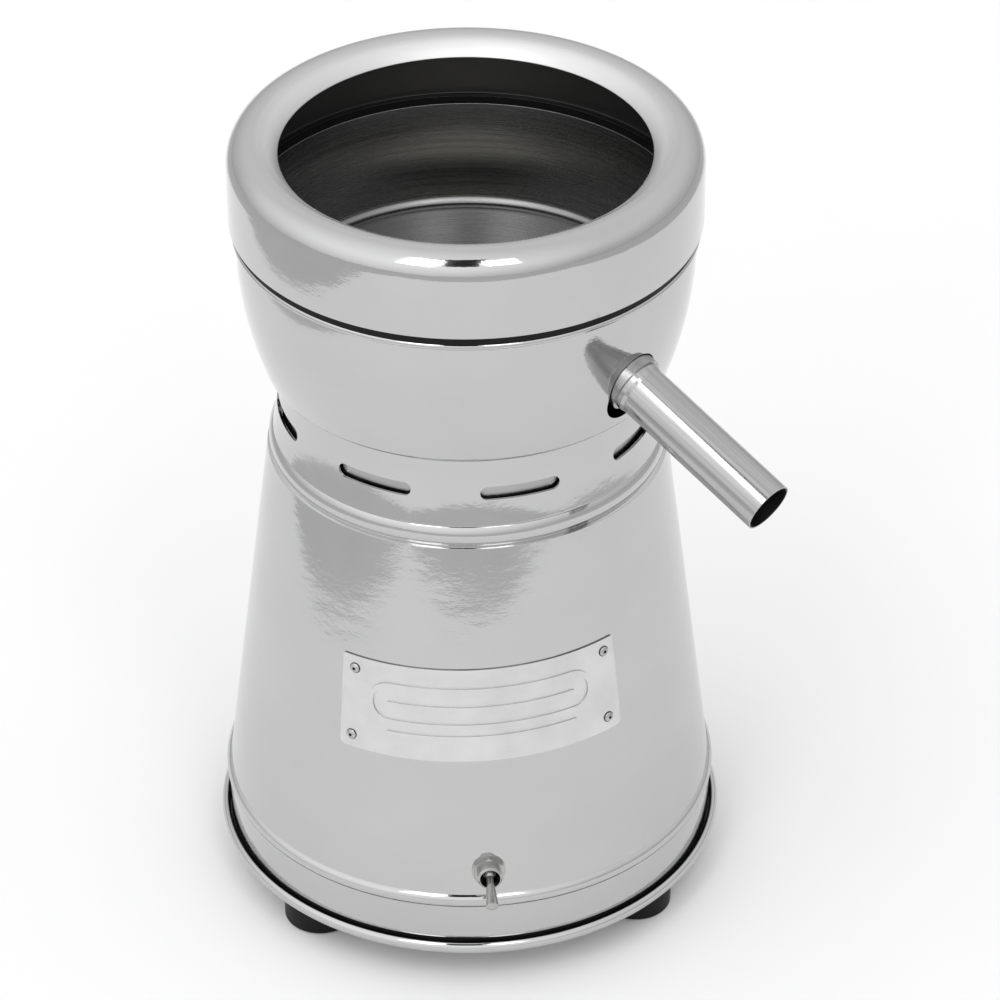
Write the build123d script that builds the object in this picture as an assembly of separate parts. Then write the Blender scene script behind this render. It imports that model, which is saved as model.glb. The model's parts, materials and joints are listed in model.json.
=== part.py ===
from build123d import *
import os
from math import asin, atan2, cos, degrees, radians, sin, tan

# An electric citrus juicer: a conical housing on four feet, a polished outer bowl on a slotted
# neck, a lift-out juice bowl with a drain spout, a rolled splash ring and a reamer on a
# vertical motor. Millimetres, +Z up, origin on the drive axis at the surface it stands on.
# The front, with the switch and the nameplate, faces -Y. Every azimuth is in degrees from
# the front, towards +X. A profile point is (radius, height).

# ---- sheet metal and running gaps
SHEET = 1.2
RUN_GAP = 0.05

# ---- feet and base
FOOT_H = 18.0
FOOT_R = 18.0
FOOT_CIRCLE = 104.0
FOOT_AZ = {"front_right": 50.0, "rear_right": 130.0, "rear_left": 230.0, "front_left": 310.0}
FOOT_RECESS_R = 5.6
FOOT_RECESS_TOP = 10.0
FOOT_SCREW_R = 2.5
PAN_R = 127.3
PAN_FLOOR = 1.5
PAN_RIM_H = 6.0
PAN_RIM_W = 3.9
PAN_TOP = FOOT_H + PAN_FLOOR
SEAL_R = 122.7
SEAL_W = 3.7
BAND_BOTTOM = 26.0

# ---- conical housing and neck
BAND_R = 123.0
BEAD_BOTTOM = 45.0
BEAD_R = 124.0
CONE_BOTTOM = (121.7, 52.0)
CONE_TOP = (97.7, 242.4)
SHOULDER_R = 96.9
NECK_BOTTOM = 253.0
NECK_R = 94.9
NECK_WAIST_R = 92.4
NECK_TOP_R = 91.8
DECK_TOP = 290.0
FLANGE_IN_R = 68.0
VENT_COUNT = 8
VENT_AZ = 12.5
VENT_Z = 270.0
VENT_LENGTH = 39.0
VENT_H = 7.0
BAFFLE_R = 89.8
BAFFLE_FOOT_R = 82.6
BAFFLE_TOP = 283.0
BAFFLE_SHEET = 1.0

# ---- bowls, gasket and splash ring
BOWL_CORNER = (99.0, 295.3)
BOWL_MID = (106.4, 323.0)
BOWL_TOP = (109.6, 362.0)
BOWL_BEAD_R = 111.6
BOWL_RIM_Z = 365.3
DECK_HOLE_R = 22.0
JUICE_FLOOR_Z = 316.0
JUICE_CORNER = (98.4, 321.5)
JUICE_RIM = (106.2, 367.5)
JUICE_LIP_R = 109.0
CHIMNEY_R = 16.0
CHIMNEY_TOP = 326.0
GASKET_R = 111.2
RING_BOTTOM = 369.3
RING_R = 112.8
RING_FOOT_IN_R = 108.2
ROLL_R = 11.7
ROLL_Z = 399.5
FLANK_SLOPE = 44.5
LIP_R = 88.3

# ---- spout
SPOUT_AZ = 44.0
SPOUT_R = 12.7
SPOUT_BORE_R = 11.5
SPOUT_MOUTH = (188.6, 285.9)
SPOUT_AT_BOWL = (108.5, 317.6)
SPOUT_INNER_END = 80.5
SPOUT_FLARE = 0.6
SPOUT_FLARE_AT = 111.5
SPOUT_FLARE_TAPER = 1.8
SPOUT_HOLE_W = 30.5
SPOUT_HOLE_L = 36.5
SPOUT_HOLE_DROP = 3.0
COLLAR_R = 14.6
COLLAR_AT = 102.5
COLLAR_LENGTH = 5.0

# ---- drive and reamer
SHAFT_R = 6.0
SHAFT_BIG_R = 8.0
SHAFT_BOTTOM = 92.0
SHAFT_TOP = 314.0
SPINDLE_BOTTOM = 296.0
SPINDLE_R = 9.5
SPINDLE_SHOULDER = 319.5
SPINDLE_TOP = 336.5
HEX_FLATS = 10.0
HEX_GAP = 0.1
REAMER_TOP = 344.5
REAMER_FLANGE_R = 35.0
REAMER_CONE_R = 27.0
REAMER_RIBS = 12

# ---- motor
MOTOR_R = 62.0
MOTOR_WALL = 2.0
BELL_LOW = 116.0
BELL_HIGH = 247.8
BELL_H = 22.0
BELL_FACE = 8.0
STATOR_BOTTOM = 155.0
STATOR_TOP = 209.0
STATOR_BORE_R = 33.0
ROTOR_R = 32.4
SLOT_COUNT = 24
SLOT_BOTTOM_R = 48.0
BEARING_R = 16.0
BEARING_W = 10.0
BALL_PITCH_R = 11.0
BALL_R = 2.9
BALL_COUNT = 7
PLATE_R = 92.0
PLATE_H = 4.0
PLATE_TOP = NECK_BOTTOM - SHEET
MOTOR_PLATE_HOLE_R = 20.0
MOTOR_BOLT_CIRCLE = 46.0
MOTOR_BOLT_R = 2.5
BELL_BOLT_CIRCLE = 54.0
BELL_BOLT_R = 2.0
TIE_CIRCLE = 76.0
TIE_R = 3.0
TIE_HEAD_H = 4.0
NUT_H = 5.0

# ---- switch, grommet and nameplate
SWITCH_AZ = 1.0
SWITCH_Z = 66.0
SWITCH_BUSH_R = 6.0
SWITCH_BUSH_OUT = 9.0
SWITCH_PIVOT_OUT = 4.0
SWITCH_THROW = 25.0
LEVER_LENGTH = 20.0
SWITCH_NUT_FLATS = 14.0
GROMMET_Z = 70.0
GROMMET_HOLE_R = 8.0
GROMMET_BORE_R = 4.3
PLATE_W = 142.0
PLATE_Z = (128.0, 178.0)
PLATE_TILT = -1.6
PLATE_T = 1.0
PLATE_CORNER = 3.0
PLATE_TOP_CORNER = 0.8
RIVET_INSET = 6.6
RIVET_R = 2.8
RIVET_SHANK_R = 1.4
RIVET_HOLE_R = 0.8

CONE_SLOPE = (CONE_BOTTOM[0] - CONE_TOP[0]) / (CONE_TOP[1] - CONE_BOTTOM[1])
SPOUT_SLOPE = (SPOUT_AT_BOWL[1] - SPOUT_MOUTH[1]) / (SPOUT_MOUTH[0] - SPOUT_AT_BOWL[0])

nodes = {}


# ---- helpers
def outline(start, *steps):
    """A closed outline. A step is the next point, or a (through, end) pair for an arc."""
    edges = []
    here = start
    for step in steps:
        if isinstance(step[0], tuple):
            edges.append(ThreePointArc(here, step[0], step[1]))
            here = step[1]
        else:
            edges.append(Line(here, step))
            here = step
    edges.append(Line(here, start))
    return make_face(edges)


def lathe(start, *steps):
    """The outline turned about the drive axis."""
    return revolve(Plane.XZ * outline(start, *steps), Axis.Z)


def ring(outer, inner, low, high):
    """A plain turned ring between two heights."""
    return lathe((inner, low), (outer, low), (outer, high), (inner, high))


def cap_middle(radius, low, rise):
    """Halfway up the arc of a spherical cap, from its edge to its top on the axis."""
    sphere_r = (radius**2 + rise**2) / (2 * rise)
    half = asin(radius / sphere_r) / 2
    return (sphere_r * sin(half), low + rise - sphere_r * (1 - cos(half)))


def polar(radius, azimuth, z=0.0):
    """The point at a radius and an azimuth."""
    a = radians(azimuth)
    return Vector(radius * sin(a), -radius * cos(a), z)


def post(radius, low, high, at):
    """An upright cylinder centred over a point."""
    return Pos(at.X, at.Y, low) * extrude(Circle(radius), high - low)


def hex_post(flats, low, high, at=Vector(0, 0, 0)):
    """An upright hexagonal prism, by its width across flats."""
    prism = extrude(RegularPolygon(flats / 2, 6, major_radius=False), high - low)
    return Pos(at.X, at.Y, low) * prism


def hex_nut(flats, bore, low, high, at):
    """A hexagonal nut lying flat."""
    return hex_post(flats, low, high, at) - post(bore, low, high, at)


def around(count, first=0.0):
    """Evenly spaced azimuths."""
    return [first + 360.0 / count * k for k in range(count)]


def cone_radius(z):
    """The outer radius of the conical housing at a height."""
    return CONE_BOTTOM[0] - (z - CONE_BOTTOM[1]) * CONE_SLOPE


def cone_plane(azimuth, z):
    """A plane on the cone's outside: x sideways, y up the cone, z outwards."""
    a = radians(azimuth)
    lean = atan2(CONE_SLOPE, 1.0)
    normal = Vector(sin(a) * cos(lean), -cos(a) * cos(lean), sin(lean))
    return Plane(polar(cone_radius(z), azimuth, z), x_dir=(cos(a), sin(a), 0), z_dir=normal)


def turned_on(plane, start, *steps):
    """An outline of (radius, distance out) turned about a plane's own z axis."""
    return plane * revolve(Plane.XZ * outline(start, *steps), Axis.Z)


def group(*solids):
    """Separate solids that share one node."""
    return Compound(children=[s for shape in solids for s in shape.solids()])


SPOUT_DIR = Vector(
    sin(radians(SPOUT_AZ)), -cos(radians(SPOUT_AZ)), -SPOUT_SLOPE
).normalized()


def spout_point(radius):
    """The point of the spout's axis at a distance from the drive axis."""
    z = SPOUT_AT_BOWL[1] + (SPOUT_AT_BOWL[0] - radius) * SPOUT_SLOPE
    return polar(radius, SPOUT_AZ, z)


def spout_plane(radius):
    """A plane across the spout: x level, y up, z along the flow."""
    sideways = (cos(radians(SPOUT_AZ)), sin(radians(SPOUT_AZ)), 0)
    return Plane(spout_point(radius), x_dir=sideways, z_dir=SPOUT_DIR)


def along_spout(radius_from, radius_to):
    """The distance along the spout's axis between two radii."""
    return (spout_point(radius_to) - spout_point(radius_from)).length


FOOT_POINTS = [polar(FOOT_CIRCLE, az) for az in FOOT_AZ.values()]
TIE_POINTS = [polar(TIE_CIRCLE, az) for az in around(4, 45.0)]
MOTOR_BOLT_POINTS = [polar(MOTOR_BOLT_CIRCLE, az) for az in around(4, 45.0)]
BELL_BOLT_POINTS = [polar(BELL_BOLT_CIRCLE, az) for az in around(4)]
BOWL_SCREW_CIRCLE = 60.0
BOWL_SCREW_POINTS = [polar(BOWL_SCREW_CIRCLE, az) for az in around(4)]
BOWL_SCREW_R = 2.0


# ---- feet and base pan
def rubber_foot(at):
    chamfer = 2.0
    bore = FOOT_SCREW_R + 0.1
    body = lathe(
        (bore, FOOT_RECESS_TOP),
        (FOOT_RECESS_R, FOOT_RECESS_TOP),
        (FOOT_RECESS_R, 0),
        (FOOT_R - chamfer, 0),
        ((FOOT_R - 0.6, 0.6), (FOOT_R, chamfer)),
        (FOOT_R, FOOT_H - 1.0),
        (FOOT_R - 1.0, FOOT_H),
        (bore, FOOT_H),
    )
    return Pos(at.X, at.Y, 0) * body


for name, azimuth in FOOT_AZ.items():
    nodes["foot_" + name] = rubber_foot(polar(FOOT_CIRCLE, azimuth))


def foot_fasteners():
    """Pan-head screws up through the feet, with a washer in each recess and a nut inside."""
    washer_h = 1.0
    head_h = 3.0
    head_r = 4.4
    nut_h = 4.0
    head_top = FOOT_RECESS_TOP - washer_h
    screws = []
    washers = []
    nuts = []
    for at in FOOT_POINTS:
        head = post(head_r, head_top - head_h, head_top, at)
        shank = post(FOOT_SCREW_R, head_top, PAN_TOP + nut_h + 2.0, at)
        drive_slot = Pos(at.X, at.Y, head_top - head_h) * Box(2 * head_r, 1.2, 2.4)
        screws.append(head + shank - drive_slot)
        disc = post(FOOT_RECESS_R - 0.2, head_top, FOOT_RECESS_TOP, at)
        washers.append(disc - post(FOOT_SCREW_R, head_top, FOOT_RECESS_TOP, at))
        nuts.append(hex_nut(8.0, FOOT_SCREW_R, PAN_TOP, PAN_TOP + nut_h, at))
    return group(*screws), group(*washers), group(*nuts)


nodes["foot_screws"], nodes["foot_washers"], nodes["foot_nuts"] = foot_fasteners()


def base_pan():
    """A pressed pan with a rolled rim, air slots under the motor and bolt holes."""
    slot_count = 12
    slot_circle = 46.0
    rim_centre = (PAN_R - PAN_RIM_W / 2, FOOT_H + PAN_RIM_H / 2)
    rim = revolve(
        Plane.XZ * (Pos(*rim_centre) * RectangleRounded(PAN_RIM_W, PAN_RIM_H, 1.6)), Axis.Z
    )
    pan = post(PAN_R - PAN_RIM_W / 2, FOOT_H, PAN_TOP, Vector(0, 0, 0)) + rim
    air_slot = extrude(SlotOverall(30.0, 5.0), 10.0, both=True)
    for az in around(slot_count):
        centre = polar(slot_circle, az)
        pan -= Pos(centre.X, centre.Y, FOOT_H) * Rot(0, 0, az + 90) * air_slot
    for at in FOOT_POINTS:
        pan -= post(FOOT_SCREW_R, 0, BAND_BOTTOM, at)
    for at in TIE_POINTS:
        pan -= post(TIE_R, 0, BAND_BOTTOM, at)
    return pan


nodes["base_pan"] = base_pan()
nodes["base_seal"] = ring(SEAL_R, SEAL_R - SEAL_W, PAN_TOP, BAND_BOTTOM)

# ---- switch, grommet and nameplate
SWITCH_PLANE = cone_plane(SWITCH_AZ, SWITCH_Z)
GROMMET_PLANE = cone_plane(180.0, GROMMET_Z)
INSIDE = -SHEET - 2.0
PLATE_MID_Z = sum(PLATE_Z) / 2


def plate_cutter(width, low, high, corner, top_corner):
    """A rounded patch of the given width, wrapped on the cone and tilted with the nameplate."""
    half = degrees(width / 2 / cone_radius(PLATE_MID_Z))
    patch = revolve(
        Plane.XZ * (Pos(110, (low + high) / 2) * Rectangle(50, high - low)), Axis.Z, 2 * half
    )
    patch = Rot(0, 0, -90 - half) * patch
    for z, radius in ((low, corner), (high, top_corner)):
        level = patch.edges().filter_by(GeomType.LINE).filter_by_position(Axis.Z, z - 0.1, z + 0.1)
        patch = fillet(level, radius)
    return Pos(0, 0, PLATE_MID_Z) * Rot(0, PLATE_TILT, 0) * Pos(0, 0, -PLATE_MID_Z) * patch


def cone_skin(inner, outer):
    """The layer between two offsets outwards from the cone, around the nameplate."""
    low = PLATE_Z[0] - 10
    high = PLATE_Z[1] + 10
    return lathe(
        (cone_radius(low) + inner, low),
        (cone_radius(low) + outer, low),
        (cone_radius(high) + outer, high),
        (cone_radius(high) + inner, high),
    )


def rivet_planes():
    """Where the four nameplate rivets stand, following the plate's tilt."""
    planes = []
    reach = PLATE_W / 2 - RIVET_INSET
    for side in (-1, 1):
        for z in (PLATE_Z[0] + RIVET_INSET, PLATE_Z[1] - RIVET_INSET):
            half = degrees(reach / cone_radius(PLATE_MID_Z))
            tilted = z - side * reach * tan(radians(PLATE_TILT))
            planes.append(cone_plane(side * half, tilted))
    return planes


def nameplate():
    """A thin plate wrapped on the cone, with a plain raised lozenge and two bars."""
    raised = 0.6
    lozenge_w = 112.0
    lozenge_h = 22.0
    lozenge_z = PLATE_MID_Z + 4.0
    frame_w = 2.4
    bar_h = 2.0
    plate = cone_skin(0, PLATE_T) & plate_cutter(
        PLATE_W, PLATE_Z[0], PLATE_Z[1], PLATE_CORNER, PLATE_TOP_CORNER
    )
    relief = cone_skin(PLATE_T, PLATE_T + raised)
    half = lozenge_h / 2
    inner = half - frame_w
    lozenge = plate_cutter(lozenge_w, lozenge_z - half, lozenge_z + half, half - 0.3, half - 0.3)
    lozenge -= plate_cutter(
        lozenge_w - 2 * frame_w, lozenge_z - inner, lozenge_z + inner, inner - 0.3, inner - 0.3
    )
    plate += relief & lozenge
    for z in (lozenge_z, lozenge_z - half - 5.0):
        plate += relief & plate_cutter(
            lozenge_w - 8 * frame_w, z - bar_h / 2, z + bar_h / 2, bar_h / 2.2, bar_h / 2.2
        )
    for plane in rivet_planes():
        plate -= plane * extrude(Circle(RIVET_SHANK_R), 12, both=True)
    return plate


def rivets():
    """Domed blind rivets with a hollow middle, through the nameplate and the cone."""
    dome = 1.3
    seat = PLATE_T
    tail = -SHEET
    sphere_r = (RIVET_R**2 + dome**2) / (2 * dome)
    half_r = (RIVET_R + RIVET_HOLE_R) / 2
    half_z, rim_z = (
        seat + 0.1 + dome - sphere_r + (sphere_r**2 - r**2) ** 0.5 for r in (half_r, RIVET_HOLE_R)
    )
    made = []
    for plane in rivet_planes():
        made.append(
            turned_on(
                plane,
                (0, tail - 1.0),
                (2.0, tail - 1.0),
                (2.0, tail - 0.1),
                (RIVET_SHANK_R, tail - 0.1),
                (RIVET_SHANK_R, seat + 0.1),
                (RIVET_R, seat + 0.1),
                ((half_r, half_z), (RIVET_HOLE_R, rim_z)),
                (RIVET_HOLE_R, seat),
                (0, seat),
            )
        )
    return group(*made)


nodes["nameplate"] = nameplate()
nodes["nameplate_rivets"] = rivets()


def toggle_switch():
    """A panel switch: body, terminals, threaded bushing, washer, nut and lever."""
    body_depth = 24.0
    plane = SWITCH_PLANE
    back = INSIDE - body_depth
    body = plane * Pos(0, 0, INSIDE - body_depth / 2) * Box(26.0, 14.0, body_depth)
    tabs = [
        plane * Pos(x, y, back - 4.0) * Box(6.0, 0.8, 8.0) for x in (-8.0, 8.0) for y in (-4.0, 4.0)
    ]
    bush = turned_on(
        plane,
        (3.0, INSIDE),
        (SWITCH_BUSH_R, INSIDE),
        (SWITCH_BUSH_R, SWITCH_BUSH_OUT - 0.8),
        (SWITCH_BUSH_R - 0.6, SWITCH_BUSH_OUT),
        (5.0, SWITCH_BUSH_OUT),
        (3.0, SWITCH_PIVOT_OUT),
    )
    washer_r = 8.3
    washer_h = 1.0
    washer = turned_on(
        plane, (SWITCH_BUSH_R, 0), (washer_r, 0), (washer_r, washer_h), (SWITCH_BUSH_R, washer_h)
    )
    hexagon = Rot(0, 0, 30) * RegularPolygon(SWITCH_NUT_FLATS / 2, 6, major_radius=False)
    nut = extrude(hexagon - Circle(SWITCH_BUSH_R), 2.8)
    crown = revolve(
        Plane.XZ * outline((SWITCH_BUSH_R, 0), (9.4, 0), (9.4, 1.9), (7.2, 2.8), (SWITCH_BUSH_R, 2.8)),
        Axis.Z,
    )
    nut = plane * Pos(0, 0, washer_h) * (nut & crown)
    return body, group(*tabs), bush, washer, nut


def toggle_lever():
    """A round lever that widens to its tip, thrown down at rest, on a ball in the bushing."""
    ball = 2.7
    stem = 1.7
    tip = 3.1
    crown = 1.2
    crown_low = LEVER_LENGTH - crown
    profile = outline(
        (0, -ball),
        ((ball, 0), (stem, (ball**2 - stem**2) ** 0.5)),
        (tip, crown_low),
        (cap_middle(tip, crown_low, crown), (0, LEVER_LENGTH)),
    )
    lever = Rot(SWITCH_THROW, 0, 0) * revolve(Plane.XZ * profile, Axis.Z)
    return SWITCH_PLANE * Pos(0, 0, SWITCH_PIVOT_OUT) * lever


(
    nodes["toggle_body"],
    nodes["toggle_terminals"],
    nodes["toggle_bushing"],
    nodes["toggle_washer"],
    nodes["toggle_nut"],
) = toggle_switch()
nodes["toggle_lever"] = toggle_lever()


def cable_grommet():
    """A rubber grommet in the back of the cone, grooved to hold the sheet."""
    flange = GROMMET_HOLE_R + 3.0
    depth = 3.0
    grommet = turned_on(
        GROMMET_PLANE,
        (GROMMET_BORE_R, -SHEET - depth),
        (flange, -SHEET - depth),
        (flange, -SHEET - 0.8),
        (GROMMET_HOLE_R, -SHEET - 0.8),
        (GROMMET_HOLE_R, 0.2),
        (flange, 0.2),
        ((flange - 0.9, 2.1), (flange - 3.0, depth)),
        (GROMMET_BORE_R, depth),
    )
    return grommet


nodes["cable_grommet"] = cable_grommet()


# ---- conical housing, neck and baffle
def cone_housing():
    """One spun shell: base band, bead, cone, shoulder bead and an inward flange."""
    inner_top = NECK_BOTTOM - SHEET
    bend_z = CONE_TOP[1] - 1.5
    shell = lathe(
        (BAND_R - SHEET, BAND_BOTTOM),
        (BAND_R, BAND_BOTTOM),
        (BAND_R - 0.3, BEAD_BOTTOM),
        ((BEAD_R, (BEAD_BOTTOM + CONE_BOTTOM[1]) / 2), CONE_BOTTOM),
        CONE_TOP,
        (SHOULDER_R - 1.3, CONE_TOP[1] + 0.7),
        ((SHOULDER_R, 248.0), (NECK_R, NECK_BOTTOM)),
        (FLANGE_IN_R, NECK_BOTTOM),
        (FLANGE_IN_R, inner_top),
        (SHOULDER_R - 2.7, inner_top),
        (SHOULDER_R - 2.7, CONE_TOP[1] + 0.7),
        (cone_radius(bend_z) - SHEET, bend_z),
        (CONE_BOTTOM[0] - SHEET, CONE_BOTTOM[1]),
        (BAND_R - SHEET - 0.3, BEAD_BOTTOM),
    )
    shell -= SWITCH_PLANE * extrude(Circle(SWITCH_BUSH_R), 10, both=True)
    shell -= GROMMET_PLANE * extrude(Circle(GROMMET_HOLE_R), 10, both=True)
    for plane in rivet_planes():
        shell -= plane * extrude(Circle(RIVET_SHANK_R), 12, both=True)
    for at in TIE_POINTS:
        shell -= post(TIE_R, inner_top - 1, NECK_BOTTOM + 1, at)
    return shell


nodes["cone_housing"] = cone_housing()


def neck_collar():
    """The slotted neck, with a flange at its foot and a flat deck that carries the bowl."""
    waist_z = 268.0
    foot_top = NECK_BOTTOM + SHEET
    deck_low = DECK_TOP - SHEET
    collar = lathe(
        (FLANGE_IN_R, NECK_BOTTOM),
        (NECK_R, NECK_BOTTOM),
        ((NECK_WAIST_R, waist_z), (NECK_TOP_R, DECK_TOP)),
        (DECK_HOLE_R, DECK_TOP),
        (DECK_HOLE_R, deck_low),
        (NECK_TOP_R - SHEET, deck_low),
        ((NECK_WAIST_R - SHEET, waist_z), (NECK_R - SHEET, foot_top)),
        (FLANGE_IN_R, foot_top),
    )
    vent = extrude(SlotOverall(VENT_LENGTH, VENT_H), 8, both=True)
    for az in around(VENT_COUNT, VENT_AZ):
        a = radians(az)
        face = Plane(
            polar(NECK_WAIST_R, az, VENT_Z), x_dir=(cos(a), sin(a), 0), z_dir=(sin(a), -cos(a), 0)
        )
        collar -= face * vent
    for at in TIE_POINTS:
        collar -= post(TIE_R, NECK_BOTTOM - 1, foot_top + 1, at)
    for at in BOWL_SCREW_POINTS:
        collar -= post(BOWL_SCREW_R, deck_low - 1, DECK_TOP + 1, at)
    return collar


nodes["neck_collar"] = neck_collar()


def vent_baffle():
    """A light ring of sheet close behind the air slots, on an inward foot."""
    foot = NECK_BOTTOM + SHEET
    return lathe(
        (BAFFLE_FOOT_R, foot),
        (BAFFLE_R, foot),
        (BAFFLE_R, BAFFLE_TOP),
        (BAFFLE_R - BAFFLE_SHEET, BAFFLE_TOP),
        (BAFFLE_R - BAFFLE_SHEET, foot + BAFFLE_SHEET),
        (BAFFLE_FOOT_R, foot + BAFFLE_SHEET),
    )


nodes["vent_baffle"] = vent_baffle()


# ---- bowls, spout, gasket and splash ring
def outer_bowl():
    """The polished bowl: flat floor, flaring wall, rolled rim and a tall hole for the spout."""
    floor_top = DECK_TOP + SHEET
    bowl = lathe(
        (DECK_HOLE_R, DECK_TOP),
        (92.5, DECK_TOP),
        ((96.9, 291.7), BOWL_CORNER),
        (BOWL_MID, BOWL_TOP),
        ((BOWL_BEAD_R, 363.7), (BOWL_BEAD_R - 1.4, BOWL_RIM_Z)),
        (BOWL_TOP[0] - 1.6, BOWL_RIM_Z),
        (BOWL_TOP[0] - SHEET, BOWL_TOP[1]),
        ((BOWL_MID[0] - SHEET, BOWL_MID[1]), (BOWL_CORNER[0] - SHEET, BOWL_CORNER[1] + 0.7)),
        ((96.0, 292.9), (92.5, floor_top)),
        (DECK_HOLE_R, floor_top),
    )
    hole = Pos(0, -SPOUT_HOLE_DROP) * Rot(0, 0, 90) * SlotOverall(SPOUT_HOLE_L, SPOUT_HOLE_W)
    hole = spout_plane(100.0) * hole
    bowl -= extrude(hole, 30, dir=SPOUT_DIR)
    for at in BOWL_SCREW_POINTS:
        bowl -= post(BOWL_SCREW_R, DECK_TOP - 1, floor_top + 1, at)
    return bowl


nodes["outer_bowl"] = outer_bowl()


def bowl_fasteners():
    """Screws that hold the outer bowl down on the deck, and their nuts."""
    head_low = DECK_TOP + SHEET
    nut_high = DECK_TOP - SHEET
    nut_h = 3.2
    screws = []
    nuts = []
    for at in BOWL_SCREW_POINTS:
        head = post(4.0, head_low, head_low + 2.6, at)
        slot = Pos(at.X, at.Y, head_low + 2.6) * Box(8.0, 1.0, 2.0)
        screws.append(head + post(BOWL_SCREW_R, nut_high - nut_h - 2.0, head_low, at) - slot)
        nuts.append(hex_nut(7.0, BOWL_SCREW_R, nut_high - nut_h, nut_high, at))
    return group(*screws), group(*nuts)


nodes["bowl_screws"], nodes["bowl_nuts"] = bowl_fasteners()


def juice_cavity():
    """The space inside the juice bowl, used to trim what opens into it."""
    return lathe(
        (0, JUICE_FLOOR_Z),
        (92.0, JUICE_FLOOR_Z),
        ((96.5, 317.5), JUICE_CORNER),
        JUICE_RIM,
        (0, JUICE_RIM[1]),
    )


def juice_bowl():
    """The lift-out bowl: flat floor with a hole for the chimney, side wall and a flat lip."""
    under = JUICE_FLOOR_Z - SHEET
    lip_under = JUICE_RIM[1] - SHEET
    bowl = lathe(
        (CHIMNEY_R + SHEET, under),
        (CHIMNEY_R + SHEET, JUICE_FLOOR_Z),
        (92.0, JUICE_FLOOR_Z),
        ((96.5, 317.5), JUICE_CORNER),
        JUICE_RIM,
        (JUICE_LIP_R, JUICE_RIM[1]),
        (JUICE_LIP_R, lip_under),
        (JUICE_RIM[0] + 1.0, lip_under),
        (JUICE_CORNER[0] + SHEET, JUICE_CORNER[1] - 0.2),
        ((97.4, 316.5), (92.0, under)),
    )
    length = along_spout(SPOUT_INNER_END, SPOUT_AT_BOWL[0])
    return bowl - spout_plane(SPOUT_INNER_END) * extrude(Circle(SPOUT_R + SPOUT_FLARE), length)


nodes["juice_bowl"] = juice_bowl()
nodes["bowl_chimney"] = ring(CHIMNEY_R + SHEET, CHIMNEY_R, JUICE_FLOOR_Z - SHEET, CHIMNEY_TOP)


def spout_tube():
    """A straight drain tube, cut square at its mouth and rolled wider where the bowl holds it."""
    length = along_spout(SPOUT_INNER_END, SPOUT_MOUTH[0])
    plain_from = along_spout(SPOUT_INNER_END, SPOUT_FLARE_AT)
    wide_to = plain_from - SPOUT_FLARE_TAPER
    tube = turned_on(
        spout_plane(SPOUT_INNER_END),
        (SPOUT_BORE_R + SPOUT_FLARE, 0),
        (SPOUT_R + SPOUT_FLARE, 0),
        (SPOUT_R + SPOUT_FLARE, wide_to),
        (SPOUT_R, plain_from),
        (SPOUT_R, length),
        (SPOUT_BORE_R, length),
        (SPOUT_BORE_R, plain_from),
        (SPOUT_BORE_R + SPOUT_FLARE, wide_to),
    )
    return tube - juice_cavity()


nodes["spout_tube"] = spout_tube()
nodes["spout_collar"] = spout_plane(COLLAR_AT) * extrude(
    Circle(COLLAR_R) - Circle(SPOUT_R + SPOUT_FLARE), COLLAR_LENGTH
)
GASKET_FOOT_R = 107.6
GASKET_RIB = (106.5, 107.9)
GASKET_RIB_H = 1.3
nodes["rim_gasket"] = lathe(
    (GASKET_FOOT_R, BOWL_RIM_Z),
    (GASKET_R, BOWL_RIM_Z),
    (GASKET_R, RING_BOTTOM),
    (GASKET_RIB[1], RING_BOTTOM),
    (GASKET_RIB[1], RING_BOTTOM + GASKET_RIB_H),
    (GASKET_RIB[0], RING_BOTTOM + GASKET_RIB_H),
    (GASKET_RIB[0], JUICE_RIM[1]),
    (JUICE_LIP_R, JUICE_RIM[1]),
    (JUICE_LIP_R, JUICE_RIM[1] - SHEET),
    (GASKET_FOOT_R, JUICE_RIM[1] - SHEET),
)
ROLL_CENTRE_R = RING_R - ROLL_R
ROLL_IN_R = ROLL_R - SHEET


def splash_ring():
    """A tall ring with a flat foot, rolled over at the top into a sloping inner flank."""
    foot = RING_BOTTOM + RUN_GAP
    inwards = sin(radians(FLANK_SLOPE))
    upwards = cos(radians(FLANK_SLOPE))
    flank_out = (ROLL_CENTRE_R - ROLL_R * inwards, ROLL_Z + ROLL_R * upwards)
    flank_in = (ROLL_CENTRE_R - ROLL_IN_R * inwards, ROLL_Z + ROLL_IN_R * upwards)
    reach = (flank_out[0] - LIP_R) / upwards
    lip_out = (LIP_R, flank_out[1] - reach * inwards)
    lip_in = (flank_in[0] - reach * upwards, flank_in[1] - reach * inwards)
    return lathe(
        (RING_FOOT_IN_R, foot),
        (RING_R, foot),
        (RING_R, ROLL_Z),
        ((ROLL_CENTRE_R, ROLL_Z + ROLL_R), flank_out),
        lip_out,
        lip_in,
        flank_in,
        ((ROLL_CENTRE_R, ROLL_Z + ROLL_IN_R), (RING_R - SHEET, ROLL_Z)),
        (RING_R - SHEET, foot + SHEET),
        (RING_FOOT_IN_R, foot + SHEET),
    )


nodes["splash_ring"] = splash_ring()


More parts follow.
